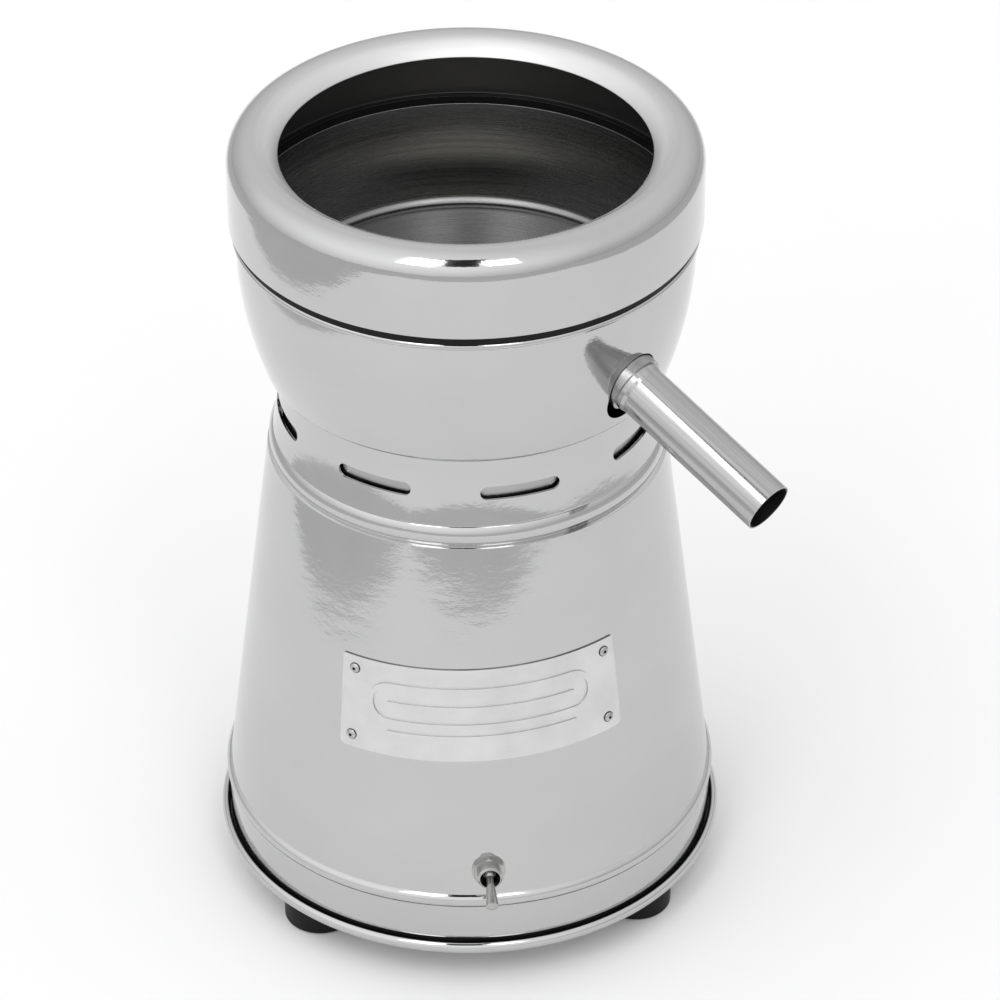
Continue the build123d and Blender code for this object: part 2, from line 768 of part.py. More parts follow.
# ---- reamer, spindle and seal
def reamer():
    """A ribbed cone on a flange, with a skirt outside the chimney and a hexagonal socket."""
    bottom = SPINDLE_SHOULDER + RUN_GAP
    hub_r = 11.0
    skirt_in = 19.0
    skirt_out = 20.8
    flange_z = 324.5
    cone_z = 327.5
    rib_rise = 1.5
    rib_reach = 60.0
    crown = lathe(
        (0, bottom),
        (hub_r, bottom),
        (hub_r, cone_z),
        (skirt_in, cone_z),
        (skirt_in, bottom),
        (skirt_out, bottom),
        (skirt_out, flange_z),
        (REAMER_FLANGE_R, flange_z),
        (REAMER_FLANGE_R, cone_z),
        (REAMER_FLANGE_R - 1.5, cone_z + 0.6),
        (REAMER_CONE_R, cone_z),
        ((REAMER_CONE_R * 0.62, 337.8), (0, REAMER_TOP - rib_rise)),
    )
    rib_profile = Plane.XZ * outline(
        (0, flange_z + 1.0),
        (REAMER_CONE_R + 1.6, flange_z + 1.0),
        (REAMER_CONE_R + 1.6, cone_z + 0.4),
        ((REAMER_CONE_R * 0.68, 338.7), (0, REAMER_TOP)),
    )
    dome = revolve(rib_profile, Axis.Z)
    wedge = Polygon((0, -0.4), (rib_reach, -4.4), (rib_reach, 4.4), (0, 0.4), align=None)
    hollow = post(skirt_out + 0.1, bottom - 10.0, cone_z, Vector(0, 0, 0))
    for az in around(REAMER_RIBS):
        blade = Rot(0, 0, az) * Pos(0, 0, flange_z) * extrude(wedge, REAMER_TOP - flange_z + 10)
        crown += (dome & blade) - hollow
    return crown - hex_post(HEX_FLATS + 2 * HEX_GAP, bottom, SPINDLE_TOP + 1.0)


nodes["reamer"] = reamer()


def spindle_and_pin():
    """The hexagonal drive spindle that caps the motor shaft, and the pin across both."""
    pin_z = 303.0
    pin_r = 1.5
    pin = Pos(0, 0, pin_z) * Rot(0, 90, 0) * Cylinder(pin_r, 2 * SPINDLE_R - 1.0)
    centre = Vector(0, 0, 0)
    hub = post(SPINDLE_R, SPINDLE_BOTTOM, SPINDLE_SHOULDER, centre)
    hub -= post(SHAFT_R, SPINDLE_BOTTOM, SHAFT_TOP, centre)
    hub += hex_post(HEX_FLATS, SPINDLE_SHOULDER, SPINDLE_TOP)
    return hub - pin, pin


nodes["drive_spindle"], nodes["spindle_pin"] = spindle_and_pin()


def shaft_sealing():
    """A turned housing through the deck, the lip seal in its pocket and a slinger below."""
    pocket_r = 14.0
    floor_low = 284.0
    floor_top = 286.0
    floor_hole_r = 9.0
    rim_top = DECK_TOP + SHEET + 2.0
    rim_r = DECK_HOLE_R + 4.0
    housing = lathe(
        (floor_hole_r, floor_low),
        (DECK_HOLE_R, floor_low),
        (DECK_HOLE_R, DECK_TOP + SHEET),
        (rim_r, DECK_TOP + SHEET),
        (rim_r, rim_top),
        (pocket_r, rim_top),
        (pocket_r, floor_top),
        (floor_hole_r, floor_top),
    )
    lip_r = SHAFT_R + RUN_GAP
    lip = (floor_top + 2.4, floor_top + 4.0)
    seal_top = rim_top - 0.6
    seal = lathe(
        (lip_r, lip[0]),
        (lip_r + 2.5, floor_top),
        (pocket_r, floor_top),
        (pocket_r, seal_top),
        (10.4, seal_top),
        (9.4, seal_top - 2.0),
        (lip_r, lip[1]),
    )
    hub_r = 10.0
    hub = (266.0, 270.0)
    brim_r = 28.0
    brim = (263.0, 264.6)
    slinger = lathe(
        (SHAFT_R, hub[0]),
        (hub_r, hub[0]),
        (brim_r, brim[0]),
        (brim_r, brim[1]),
        (hub_r, hub[1]),
        (SHAFT_R, hub[1]),
    )
    return housing, seal, slinger


nodes["seal_housing"], nodes["shaft_seal"], nodes["slinger"] = shaft_sealing()


# ---- motor
def motor_shaft():
    shoulder_low = BELL_LOW + 16.0
    shoulder_high = BELL_HIGH - 15.8
    shaft = lathe(
        (0, SHAFT_BOTTOM),
        (SHAFT_R - 0.6, SHAFT_BOTTOM),
        (SHAFT_R, SHAFT_BOTTOM + 0.6),
        (SHAFT_R, shoulder_low),
        (SHAFT_BIG_R, shoulder_low),
        (SHAFT_BIG_R, shoulder_high),
        (SHAFT_R, shoulder_high),
        (SHAFT_R, SHAFT_TOP),
        (0, SHAFT_TOP),
    )
    return shaft - nodes["spindle_pin"]


nodes["motor_shaft"] = motor_shaft()
UPPER_BEARING_Z = BELL_HIGH - 15.8
LOWER_BEARING_Z = BELL_LOW + 6.0


def bearing(low):
    """A deep-groove ball bearing: inner race, outer race and balls."""
    inner_r = 9.3
    outer_r = 12.7
    middle = low + BEARING_W / 2
    groove = Pos(0, 0, middle) * Torus(BALL_PITCH_R, BALL_R + RUN_GAP)
    inner = ring(inner_r, SHAFT_R, low, low + BEARING_W) - groove
    outer = ring(BEARING_R, outer_r, low, low + BEARING_W) - groove
    centres = [polar(BALL_PITCH_R, az, middle) for az in around(BALL_COUNT)]
    balls = group(*[Pos(c) * Sphere(BALL_R) for c in centres])
    return inner, outer, balls


for place, low in (("upper", UPPER_BEARING_Z), ("lower", LOWER_BEARING_Z)):
    inner, outer, balls = bearing(low)
    nodes[place + "_bearing_inner_race"] = inner
    nodes[place + "_bearing_outer_race"] = outer
    nodes[place + "_bearing_balls"] = balls


def end_bell(face, inwards, pocket_from, pocket_to):
    """A cast end cover: face plate, skirt onto the shell and a boss for the bearing."""
    plate = face + inwards * BELL_FACE
    skirt = face + inwards * BELL_H
    bell = lathe(
        (SHAFT_BIG_R, face),
        (MOTOR_R, face),
        (MOTOR_R, skirt),
        (MOTOR_R - 4.0, skirt),
        (MOTOR_R - 4.0, plate),
        (20.0, plate),
        (20.0, pocket_to),
        (BEARING_R, pocket_to),
        (BEARING_R, pocket_from),
        (SHAFT_BIG_R, pocket_from),
    )
    window = Box(20.0, 12.0, 9.0)
    for az in around(6, 30.0):
        a = radians(az)
        at = polar(MOTOR_R - 2.0, az, face + inwards * 15.0)
        bell -= Plane(at, x_dir=(cos(a), sin(a), 0), z_dir=(0, 0, 1)) * window
    return bell


def upper_bell():
    bell = end_bell(BELL_HIGH, -1, UPPER_BEARING_Z + BEARING_W, UPPER_BEARING_Z)
    for at in MOTOR_BOLT_POINTS:
        bell -= post(MOTOR_BOLT_R, BELL_HIGH - BELL_FACE, BELL_HIGH, at)
    for at in BELL_BOLT_POINTS:
        bell -= post(BELL_BOLT_R, BELL_HIGH - BELL_FACE, BELL_HIGH - 2.0, at)
    return bell


def lower_bell():
    bell = end_bell(BELL_LOW, 1, LOWER_BEARING_Z, LOWER_BEARING_Z + BEARING_W)
    for at in BELL_BOLT_POINTS:
        bell -= post(BELL_BOLT_R, BELL_LOW, BELL_LOW + BELL_FACE, at)
    return bell


nodes["upper_end_bell"] = upper_bell()
nodes["lower_end_bell"] = lower_bell()
nodes["motor_shell"] = ring(
    MOTOR_R, MOTOR_R - MOTOR_WALL, BELL_LOW + BELL_H, BELL_HIGH - BELL_H
)


def stator():
    """A slotted iron core, and windings that fill its slots and turn over both ends."""
    slot_w = 4.4
    slot_top_r = 36.0
    end_turn = 13.0
    slot_len = SLOT_BOTTOM_R - slot_top_r
    height = STATOR_TOP - STATOR_BOTTOM
    core = ring(MOTOR_R - MOTOR_WALL, STATOR_BORE_R, STATOR_BOTTOM, STATOR_TOP)
    turn_in_r = slot_top_r - 1.0
    turn_out_r = SLOT_BOTTOM_R + 1.0
    low_ring = ring(turn_out_r, turn_in_r, STATOR_BOTTOM - end_turn, STATOR_BOTTOM)
    high_ring = ring(turn_out_r, turn_in_r, STATOR_TOP, STATOR_TOP + end_turn)
    bars = []
    for az in around(SLOT_COUNT, 7.5):
        at = polar(slot_top_r + slot_len / 2, az, STATOR_BOTTOM)
        bars.append(
            Pos(at.X, at.Y, at.Z) * Rot(0, 0, az) * extrude(Rectangle(slot_w, slot_len), height)
        )
    core = core - bars
    for at in BELL_BOLT_POINTS:
        core -= post(BELL_BOLT_R, STATOR_BOTTOM, STATOR_TOP, at)
    return core, low_ring + bars + high_ring


nodes["stator_core"], nodes["stator_windings"] = stator()
nodes["rotor_core"] = ring(ROTOR_R, SHAFT_BIG_R, STATOR_BOTTOM, STATOR_TOP)
END_RING_R = (18.0, ROTOR_R - 2.0)
END_RING_H = 6.0
nodes["rotor_end_rings"] = group(
    ring(END_RING_R[1], END_RING_R[0], STATOR_BOTTOM - END_RING_H, STATOR_BOTTOM),
    ring(END_RING_R[1], END_RING_R[0], STATOR_TOP, STATOR_TOP + END_RING_H),
)


def cooling_fan():
    """A radial fan on the lower end of the shaft."""
    fan_r = 50.0
    hub_r = 13.0
    hub_low = 95.0
    disc_z = 107.0
    sheet = 1.8
    blade_h = 11.2
    fan = ring(fan_r, SHAFT_R, disc_z, disc_z + sheet) + ring(hub_r, SHAFT_R, hub_low, disc_z)
    blade = Pos((fan_r + hub_r - 1.0) / 2, 0, disc_z - blade_h / 2 + 0.1) * Box(
        fan_r - hub_r + 1.0, sheet, blade_h
    )
    for az in around(8):
        fan += Rot(0, 0, az) * blade
    return fan


nodes["cooling_fan"] = cooling_fan()


def motor_plate():
    """The steel plate under the cone's flange that the motor hangs from."""
    low = PLATE_TOP - PLATE_H
    air_hole_r = 7.5
    plate = ring(PLATE_R, MOTOR_PLATE_HOLE_R, low, PLATE_TOP)
    for at in TIE_POINTS:
        plate -= post(TIE_R, low, PLATE_TOP, at)
    for at in MOTOR_BOLT_POINTS:
        plate -= post(MOTOR_BOLT_R, low, PLATE_TOP, at)
    for az in around(4):
        for side in (-15.0, 15.0):
            plate -= post(air_hole_r, low, PLATE_TOP, polar(TIE_CIRCLE, az + side))
    return plate


nodes["motor_plate"] = motor_plate()


def motor_bolts():
    """Hex-head bolts down through the plate into the upper end bell."""
    return group(
        *[
            hex_post(8.0, PLATE_TOP, PLATE_TOP + 3.5, at)
            + post(MOTOR_BOLT_R, BELL_HIGH - BELL_FACE + 0.5, PLATE_TOP, at)
            for at in MOTOR_BOLT_POINTS
        ]
    )


def bell_bolts():
    """Long bolts that clamp the end bells on the motor shell."""
    return group(
        *[
            hex_post(7.0, BELL_LOW - 3.0, BELL_LOW, at)
            + post(BELL_BOLT_R, BELL_LOW, BELL_HIGH - 3.0, at)
            for at in BELL_BOLT_POINTS
        ]
    )


def tie_bolts():
    """Long bolts from under the base pan to the neck flange, which hold the body together."""
    top = NECK_BOTTOM + SHEET + NUT_H + 2.0
    bolts = [
        hex_post(10.0, FOOT_H - TIE_HEAD_H, FOOT_H, at) + post(TIE_R, FOOT_H, top, at)
        for at in TIE_POINTS
    ]
    upper = NECK_BOTTOM + SHEET
    lower = PLATE_TOP - PLATE_H - NUT_H
    nuts = [
        hex_nut(10.0, TIE_R, low, low + NUT_H, at) for at in TIE_POINTS for low in (upper, lower)
    ]
    return group(*bolts), group(*nuts)


nodes["motor_bolts"] = motor_bolts()
nodes["end_bell_bolts"] = bell_bolts()
nodes["tie_bolts"], nodes["tie_bolt_nuts"] = tie_bolts()


# ---- electrical pieces on the base pan
def capacitor():
    """The motor's run capacitor, standing in a strap on the right of the pan."""
    centre = polar(92.0, 90.0)
    can_r = 17.5
    can_h = 62.0
    tab_h = 8.0
    strap_h = 14.0
    low = PAN_TOP + 0.5
    strap_top = PAN_TOP + strap_h
    can = post(can_r, low, low + can_h, centre)
    can = fillet(can.edges().filter_by(GeomType.CIRCLE), 1.5)
    for side in (-5.0, 5.0):
        can += Pos(centre.X + side, centre.Y, low + can_h + tab_h / 2) * Box(0.8, 6.3, tab_h)
    strap = post(can_r + SHEET, PAN_TOP, strap_top, centre) - post(can_r, PAN_TOP, strap_top, centre)
    strap += Pos(centre.X, centre.Y - can_r - 6.0, PAN_TOP + SHEET / 2) * Box(12.0, 11.0, SHEET)
    return can, strap


nodes["capacitor"], nodes["capacitor_clamp"] = capacitor()


def terminal_block():
    """A four-way screw terminal block on the left of the pan."""
    pitch = 11.0
    block_w = 16.0
    block_h = 15.0
    well_z = PAN_TOP + 7.0
    centre = polar(98.0, 270.0, PAN_TOP + block_h / 2)
    block = Pos(centre) * Box(block_w, 4 * pitch + 4, block_h)
    screws = []
    for k in range(4):
        y = centre.Y + (k - 1.5) * pitch
        wire_way = Pos(centre.X, y, PAN_TOP + 5.0) * Rot(0, 90, 0) * Cylinder(2.4, block_w)
        at = Vector(centre.X, y, 0)
        block -= wire_way + post(2.6, well_z, PAN_TOP + block_h, at)
        screws.append(post(2.5, well_z + 0.5, well_z + 4.5, at))
    return block, group(*screws)


nodes["terminal_block"], nodes["terminal_screws"] = terminal_block()

os.makedirs("parts", exist_ok=True)
for name, shape in nodes.items():
    export_step(shape, f"parts/{name}.step")
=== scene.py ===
import bmesh
import bpy
import json
import math
import numpy as np
from mathutils import Matrix, Vector

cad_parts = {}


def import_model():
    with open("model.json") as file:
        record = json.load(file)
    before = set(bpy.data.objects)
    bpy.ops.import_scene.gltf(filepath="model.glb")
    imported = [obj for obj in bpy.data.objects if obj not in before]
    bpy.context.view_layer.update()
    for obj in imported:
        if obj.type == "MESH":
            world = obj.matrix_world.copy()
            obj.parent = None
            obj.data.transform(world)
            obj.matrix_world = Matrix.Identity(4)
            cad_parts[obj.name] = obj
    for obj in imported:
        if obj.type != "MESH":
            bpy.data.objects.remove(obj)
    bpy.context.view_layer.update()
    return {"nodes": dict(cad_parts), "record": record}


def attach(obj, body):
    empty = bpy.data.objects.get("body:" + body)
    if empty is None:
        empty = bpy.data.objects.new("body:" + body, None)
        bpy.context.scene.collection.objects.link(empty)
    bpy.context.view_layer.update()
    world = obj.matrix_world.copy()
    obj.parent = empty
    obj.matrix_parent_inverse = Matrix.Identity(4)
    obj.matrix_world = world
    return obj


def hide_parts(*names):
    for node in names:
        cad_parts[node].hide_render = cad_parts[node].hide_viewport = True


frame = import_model()

MM = 0.001
TURN = 2 * math.pi

# ---------------------------------------------------------------- dimensions, in millimetres
# Profile points are (radius, height). Azimuths are degrees from the front (-Y) towards +X.
SHEET = 1.2
PAN_FLOOR = 18.0
PAN_R = 127.3
PAN_RIM_TOP = 24.0
BAND_BOTTOM = 26.0
BAND_LAP = 0.7
BAND_R = 123.0
BEAD_BOTTOM = 45.0
BEAD_R = 124.0
CONE_BOTTOM = (121.7, 52.0)
CONE_TOP = (97.7, 242.4)
SHOULDER_R = 96.9
NECK_BOTTOM = 253.0
NECK_R = 94.9
NECK_WAIST = (92.4, 268.0)
NECK_TOP_R = 91.8
DECK_TOP = 290.0
FLANGE_IN_R = 68.0
DECK_HOLE_R = 22.0
VENT_COUNT = 8
VENT_AZ = 12.5
VENT_Z = 270.0
VENT_LENGTH = 39.0
VENT_H = 7.0
PAN_SLOT_COUNT = 12
PAN_SLOT_CIRCLE = 46.0
PAN_SLOT_LENGTH = 30.0
PAN_SLOT_W = 5.0
BOWL_CORNER = (99.0, 295.3)
BOWL_MID = (106.4, 323.0)
BOWL_TOP = (109.6, 362.0)
BOWL_BEAD_R = 111.6
BOWL_RIM_Z = 365.3
JUICE_FLOOR_Z = 316.0
JUICE_CORNER = (98.4, 321.5)
JUICE_RIM = (106.2, 367.5)
JUICE_LIP_R = 109.0
CHIMNEY_R = 16.0
RING_BOTTOM = 369.35
RING_R = 112.8
ROLL_R = 11.7
ROLL_Z = 399.5
FLANK_SLOPE = 44.5
LIP_R = 88.3
# The ring's inner flank leaves the roll early by BULGE_TURN degrees and stands out by BULGE.
BULGE_TURN = 14.5
BULGE = 0.5
# Heights over the cone that bound painted shade: plate's edge, foot and top of its pattern's sides, foot of
# the rivets.
PLATE_EDGE_RISE = 0.85
PATTERN_FOOT_RISE = 1.1
PATTERN_TOP_RISE = 1.52
RIVET_FOOT_RISE = 1.45
SPOUT_AZ = 44.0
SPOUT_R = 12.7
SPOUT_BORE_R = 11.5
SPOUT_MOUTH = (188.6, 285.9)
SPOUT_AT_BOWL = (108.5, 317.6)
SPOUT_INNER_END = 80.5
SPOUT_FLARE = 0.6
SPOUT_HOLE_W = 30.5
SPOUT_HOLE_L = 36.5
SPOUT_HOLE_DROP = 3.0

SPIN_STEPS = 384
EDGE_SOFTENING = 0.3
CONE_SLOPE = (CONE_BOTTOM[0] - CONE_TOP[0]) / (CONE_TOP[1] - CONE_BOTTOM[1])
SPOUT_SLOPE = (SPOUT_AT_BOWL[1] - SPOUT_MOUTH[1]) / (SPOUT_MOUTH[0] - SPOUT_AT_BOWL[0])


def polar(radius, azimuth, z=0.0):
    """The point at a radius and an azimuth, in millimetres."""
    a = math.radians(azimuth)
    return Vector((radius * math.sin(a), -radius * math.cos(a), z))


def cone_radius(z):
    return CONE_BOTTOM[0] - (z - CONE_BOTTOM[1]) * CONE_SLOPE


# ---------------------------------------------------------------- turned shells
def arc_points(a, through, b):
    """Points along the arc from a through a middle point to b, without a itself."""
    (x1, y1), (x2, y2), (x3, y3) = a, through, b
    d = 2 * (x1 * (y2 - y3) + x2 * (y3 - y1) + x3 * (y1 - y2))
    s1, s2, s3 = x1 * x1 + y1 * y1, x2 * x2 + y2 * y2, x3 * x3 + y3 * y3
    cx = (s1 * (y2 - y3) + s2 * (y3 - y1) + s3 * (y1 - y2)) / d
    cy = (s1 * (x3 - x2) + s2 * (x1 - x3) + s3 * (x2 - x1)) / d
    radius = math.hypot(x1 - cx, y1 - cy)
    angles = [math.atan2(y - cy, x - cx) for x, y in (a, through, b)]
    forwards = (angles[1] - angles[0]) % TURN < (angles[2] - angles[0]) % TURN
    sweep = (angles[2] - angles[0]) % TURN if forwards else -((angles[0] - angles[2]) % TURN)
    count = max(6, int(abs(sweep) * radius / 0.8), int(abs(sweep) / math.radians(4)))
    steps = [angles[0] + sweep * k / count for k in range(1, count + 1)]
    return [(cx + radius * math.cos(t), cy + radius * math.sin(t)) for t in steps]


def outline(start, *steps):
    """A closed outline. A step is the next point, or a (through, end) pair for an arc."""
    points = [start]
    for step in steps:
        if isinstance(step[0], tuple):
            points += arc_points(points[-1], step[0], step[1])
        else:
            points.append(step)
    return points


def soften(points, radius=EDGE_SOFTENING):
    """Rounds each sharp corner of a closed outline."""
    made = []
    count = len(points)
    for k in range(count):
        before, here, after = (Vector(points[(k + i) % count]) for i in (-1, 0, 1))
        back, ahead = before - here, after - here
        if back.length < 1e-6 or ahead.length < 1e-6:
            continue
        turn = math.pi - back.angle(ahead)
        on_axis = here.x < 1e-6
        if turn < math.radians(20) or on_axis:
            made.append(tuple(here))
            continue
        reach = min(radius * math.tan(turn / 2), 0.45 * back.length, 0.45 * ahead.length)
        first = here + back.normalized() * reach
        last = here + ahead.normalized() * reach
        for t in (0.0, 0.25, 0.5, 0.75, 1.0):
            made.append(tuple(first.lerp(here, t).lerp(here.lerp(last, t), t)))
    return made


def profile_normals(points):
    """For each outline segment, its middle and outward normal, closely spaced."""
    area = sum(
        a[0] * b[1] - b[0] * a[1] for a, b in zip(points, points[1:] + points[:1])
    )
    outward = 1.0 if area > 0 else -1.0
    middles, normals = [], []
    count = len(points)
    corner = []
    for k in range(count):
        a, b = Vector(points[k]), Vector(points[(k + 1) % count])
        along = (b - a).normalized()
        corner.append(Vector((along.y, -along.x)) * outward)
    for k in range(count):
        a, b = Vector(points[k]), Vector(points[(k + 1) % count])
        here = corner[k]
        start = (here + corner[k - 1]).normalized() if here.dot(corner[k - 1]) > 0.9 else here
        ahead = corner[(k + 1) % count]
        end = (here + ahead).normalized() if here.dot(ahead) > 0.9 else here
        pieces = max(1, int((b - a).length / 0.5))
        for i in range(pieces + 1):
            t = i / pieces
            middles.append(tuple(a.lerp(b, t)))
            blend = start.lerp(here, min(1.0, 2 * t)) if t < 0.5 else here.lerp(end, 2 * t - 1)
            if (b - a).length < 3.0:
                blend = start.lerp(end, t)
            normals.append(tuple(blend.normalized()))
    return np.array(middles), np.array(normals)


def spin(name, points, steps=SPIN_STEPS):
    """A closed outline turned about the drive axis into a mesh object."""
    bm = bmesh.new()
    rings = []
    for radius, z in points:
        if radius < 1e-6:
            rings.append([bm.verts.new((0, 0, z * MM))])
            continue
        ring = []
        for k in range(steps):
            a = TURN * k / steps
            ring.append(bm.verts.new((radius * math.sin(a) * MM, -radius * math.cos(a) * MM, z * MM)))
        rings.append(ring)
    count = len(rings)
    for k in range(count):
        low, high = rings[k], rings[(k + 1) % count]
        if len(low) == 1 and len(high) == 1:
            continue
        for i in range(steps):
            j = (i + 1) % steps
            if len(low) == 1:
                bm.faces.new((low[0], high[j], high[i]))
            elif len(high) == 1:
                bm.faces.new((low[i], low[j], high[0]))
            else:
                bm.faces.new((low[i], low[j], high[j], high[i]))
    bmesh.ops.recalc_face_normals(bm, faces=bm.faces)
    return mesh_object(name, bm)


def mesh_object(name, bm):
    mesh = bpy.data.meshes.new(name)
    bm.to_mesh(mesh)
    bm.free()
    piece = bpy.data.objects.new(name, mesh)
    bpy.context.scene.collection.objects.link(piece)
    return piece


def smooth_turned(piece, points):
    """Gives a turned piece the exact normals of its outline, also beside holes cut in it."""
    middles, normals = profile_normals(points)
    mesh = piece.data
    corners = np.empty(len(mesh.loops), np.int32)
    mesh.loops.foreach_get("vertex_index", corners)
    co = np.empty(len(mesh.vertices) * 3)
    mesh.vertices.foreach_get("co", co)
    co = co.reshape(-1, 3)[corners]
    sides = np.empty(len(mesh.polygons), np.int32)
    mesh.polygons.foreach_get("loop_total", sides)
    fn = np.empty(len(mesh.polygons) * 3)
    mesh.polygons.foreach_get("normal", fn)
    fn = np.repeat(fn.reshape(-1, 3), sides, axis=0)
    radius = np.maximum(np.hypot(co[:, 0], co[:, 1]), 1e-9)
    radial = co[:, :2] / radius[:, None]
    spot = np.stack([radius / MM, co[:, 2] / MM, (fn[:, :2] * radial).sum(1), fn[:, 2]], 1)
    kinds, kind_of = np.unique(np.round(spot * (50, 50, 20, 20)), axis=0, return_inverse=True)
    kinds /= (50, 50, 20, 20)
    found = np.zeros((len(kinds), 2))
    for k in range(0, len(kinds), 2000):
        part = kinds[k:k + 2000]
        gap = ((part[:, None, :2] - middles[None]) ** 2).sum(2)
        gap[part[:, 2:] @ normals.T < 0.8] = 1e9
        best = gap.argmin(1)
        near = gap[np.arange(len(best)), best] < 1.0
        found[k:k + 2000] = normals[best] * near[:, None]
    n = found[kind_of.ravel()]
    exact = np.stack([radial[:, 0] * n[:, 0], radial[:, 1] * n[:, 0], n[:, 1]], 1)
    result = np.where((n**2).sum(1)[:, None] > 0.5, exact, fn)
    mesh.shade_smooth()
    mesh.normals_split_custom_set(result.tolist())
    return piece


def cut(piece, cutters):
    """Subtracts the cutters from a mesh and removes them."""
    for cutter in cutters:
        modifier = piece.modifiers.new("cut", "BOOLEAN")
        modifier.operation = "DIFFERENCE"
        modifier.solver = "EXACT"
        modifier.object = cutter
    bpy.context.view_layer.update()
    solved = bpy.data.meshes.new_from_object(piece.evaluated_get(bpy.context.evaluated_depsgraph_get()))
    piece.modifiers.clear()
    piece.data = solved
    for cutter in cutters:
        bpy.data.objects.remove(cutter)
    return piece


def prism(name, ring, low, high, place):
    """A straight prism over a flat ring of (x, y) points, between two heights, then placed."""
    bm = bmesh.new()
    bottom = [bm.verts.new((x * MM, y * MM, low * MM)) for x, y in ring]
    top = [bm.verts.new((x * MM, y * MM, high * MM)) for x, y in ring]
    count = len(ring)
    bm.faces.new(bottom[::-1])
    bm.faces.new(top)
    for k in range(count):
        j = (k + 1) % count
        bm.faces.new((bottom[k], bottom[j], top[j], top[k]))
    bmesh.ops.recalc_face_normals(bm, faces=bm.faces)
    bmesh.ops.transform(bm, matrix=place, verts=bm.verts)
    return mesh_object(name, bm)


def obround(length, width, steps=24):
    """The outline of a slot, long along x."""
    half = (length - width) / 2
    radius = width / 2
    right = [
        (half + radius * math.sin(math.pi * k / steps), -radius * math.cos(math.pi * k / steps))
        for k in range(steps + 1)
    ]
    return right + [(-x, -y) for x, y in right]


def circle(radius, steps=96):
    return [
        (radius * math.cos(TURN * k / steps), radius * math.sin(TURN * k / steps))
        for k in range(steps)
    ]


def frame_at(origin, x_axis, z_axis):
    """A placing matrix, from an origin in millimetres and two axes."""
    z = Vector(z_axis).normalized()
    x = Vector(x_axis).normalized()
    y = z.cross(x)
    place = Matrix((x, y, z)).transposed().to_4x4()
    place.translation = Vector(origin) * MM
    return place


SPOUT_SIDE = Vector((math.cos(math.radians(SPOUT_AZ)), math.sin(math.radians(SPOUT_AZ)), 0))
SPOUT_DIR = Vector((
    math.sin(math.radians(SPOUT_AZ)), -math.cos(math.radians(SPOUT_AZ)), -SPOUT_SLOPE
)).normalized()


def spout_point(radius):
    z = SPOUT_AT_BOWL[1] + (SPOUT_AT_BOWL[0] - radius) * SPOUT_SLOPE
    return polar(radius, SPOUT_AZ, z)


def spout_frame(radius):
    return frame_at(spout_point(radius), SPOUT_SIDE, SPOUT_DIR)


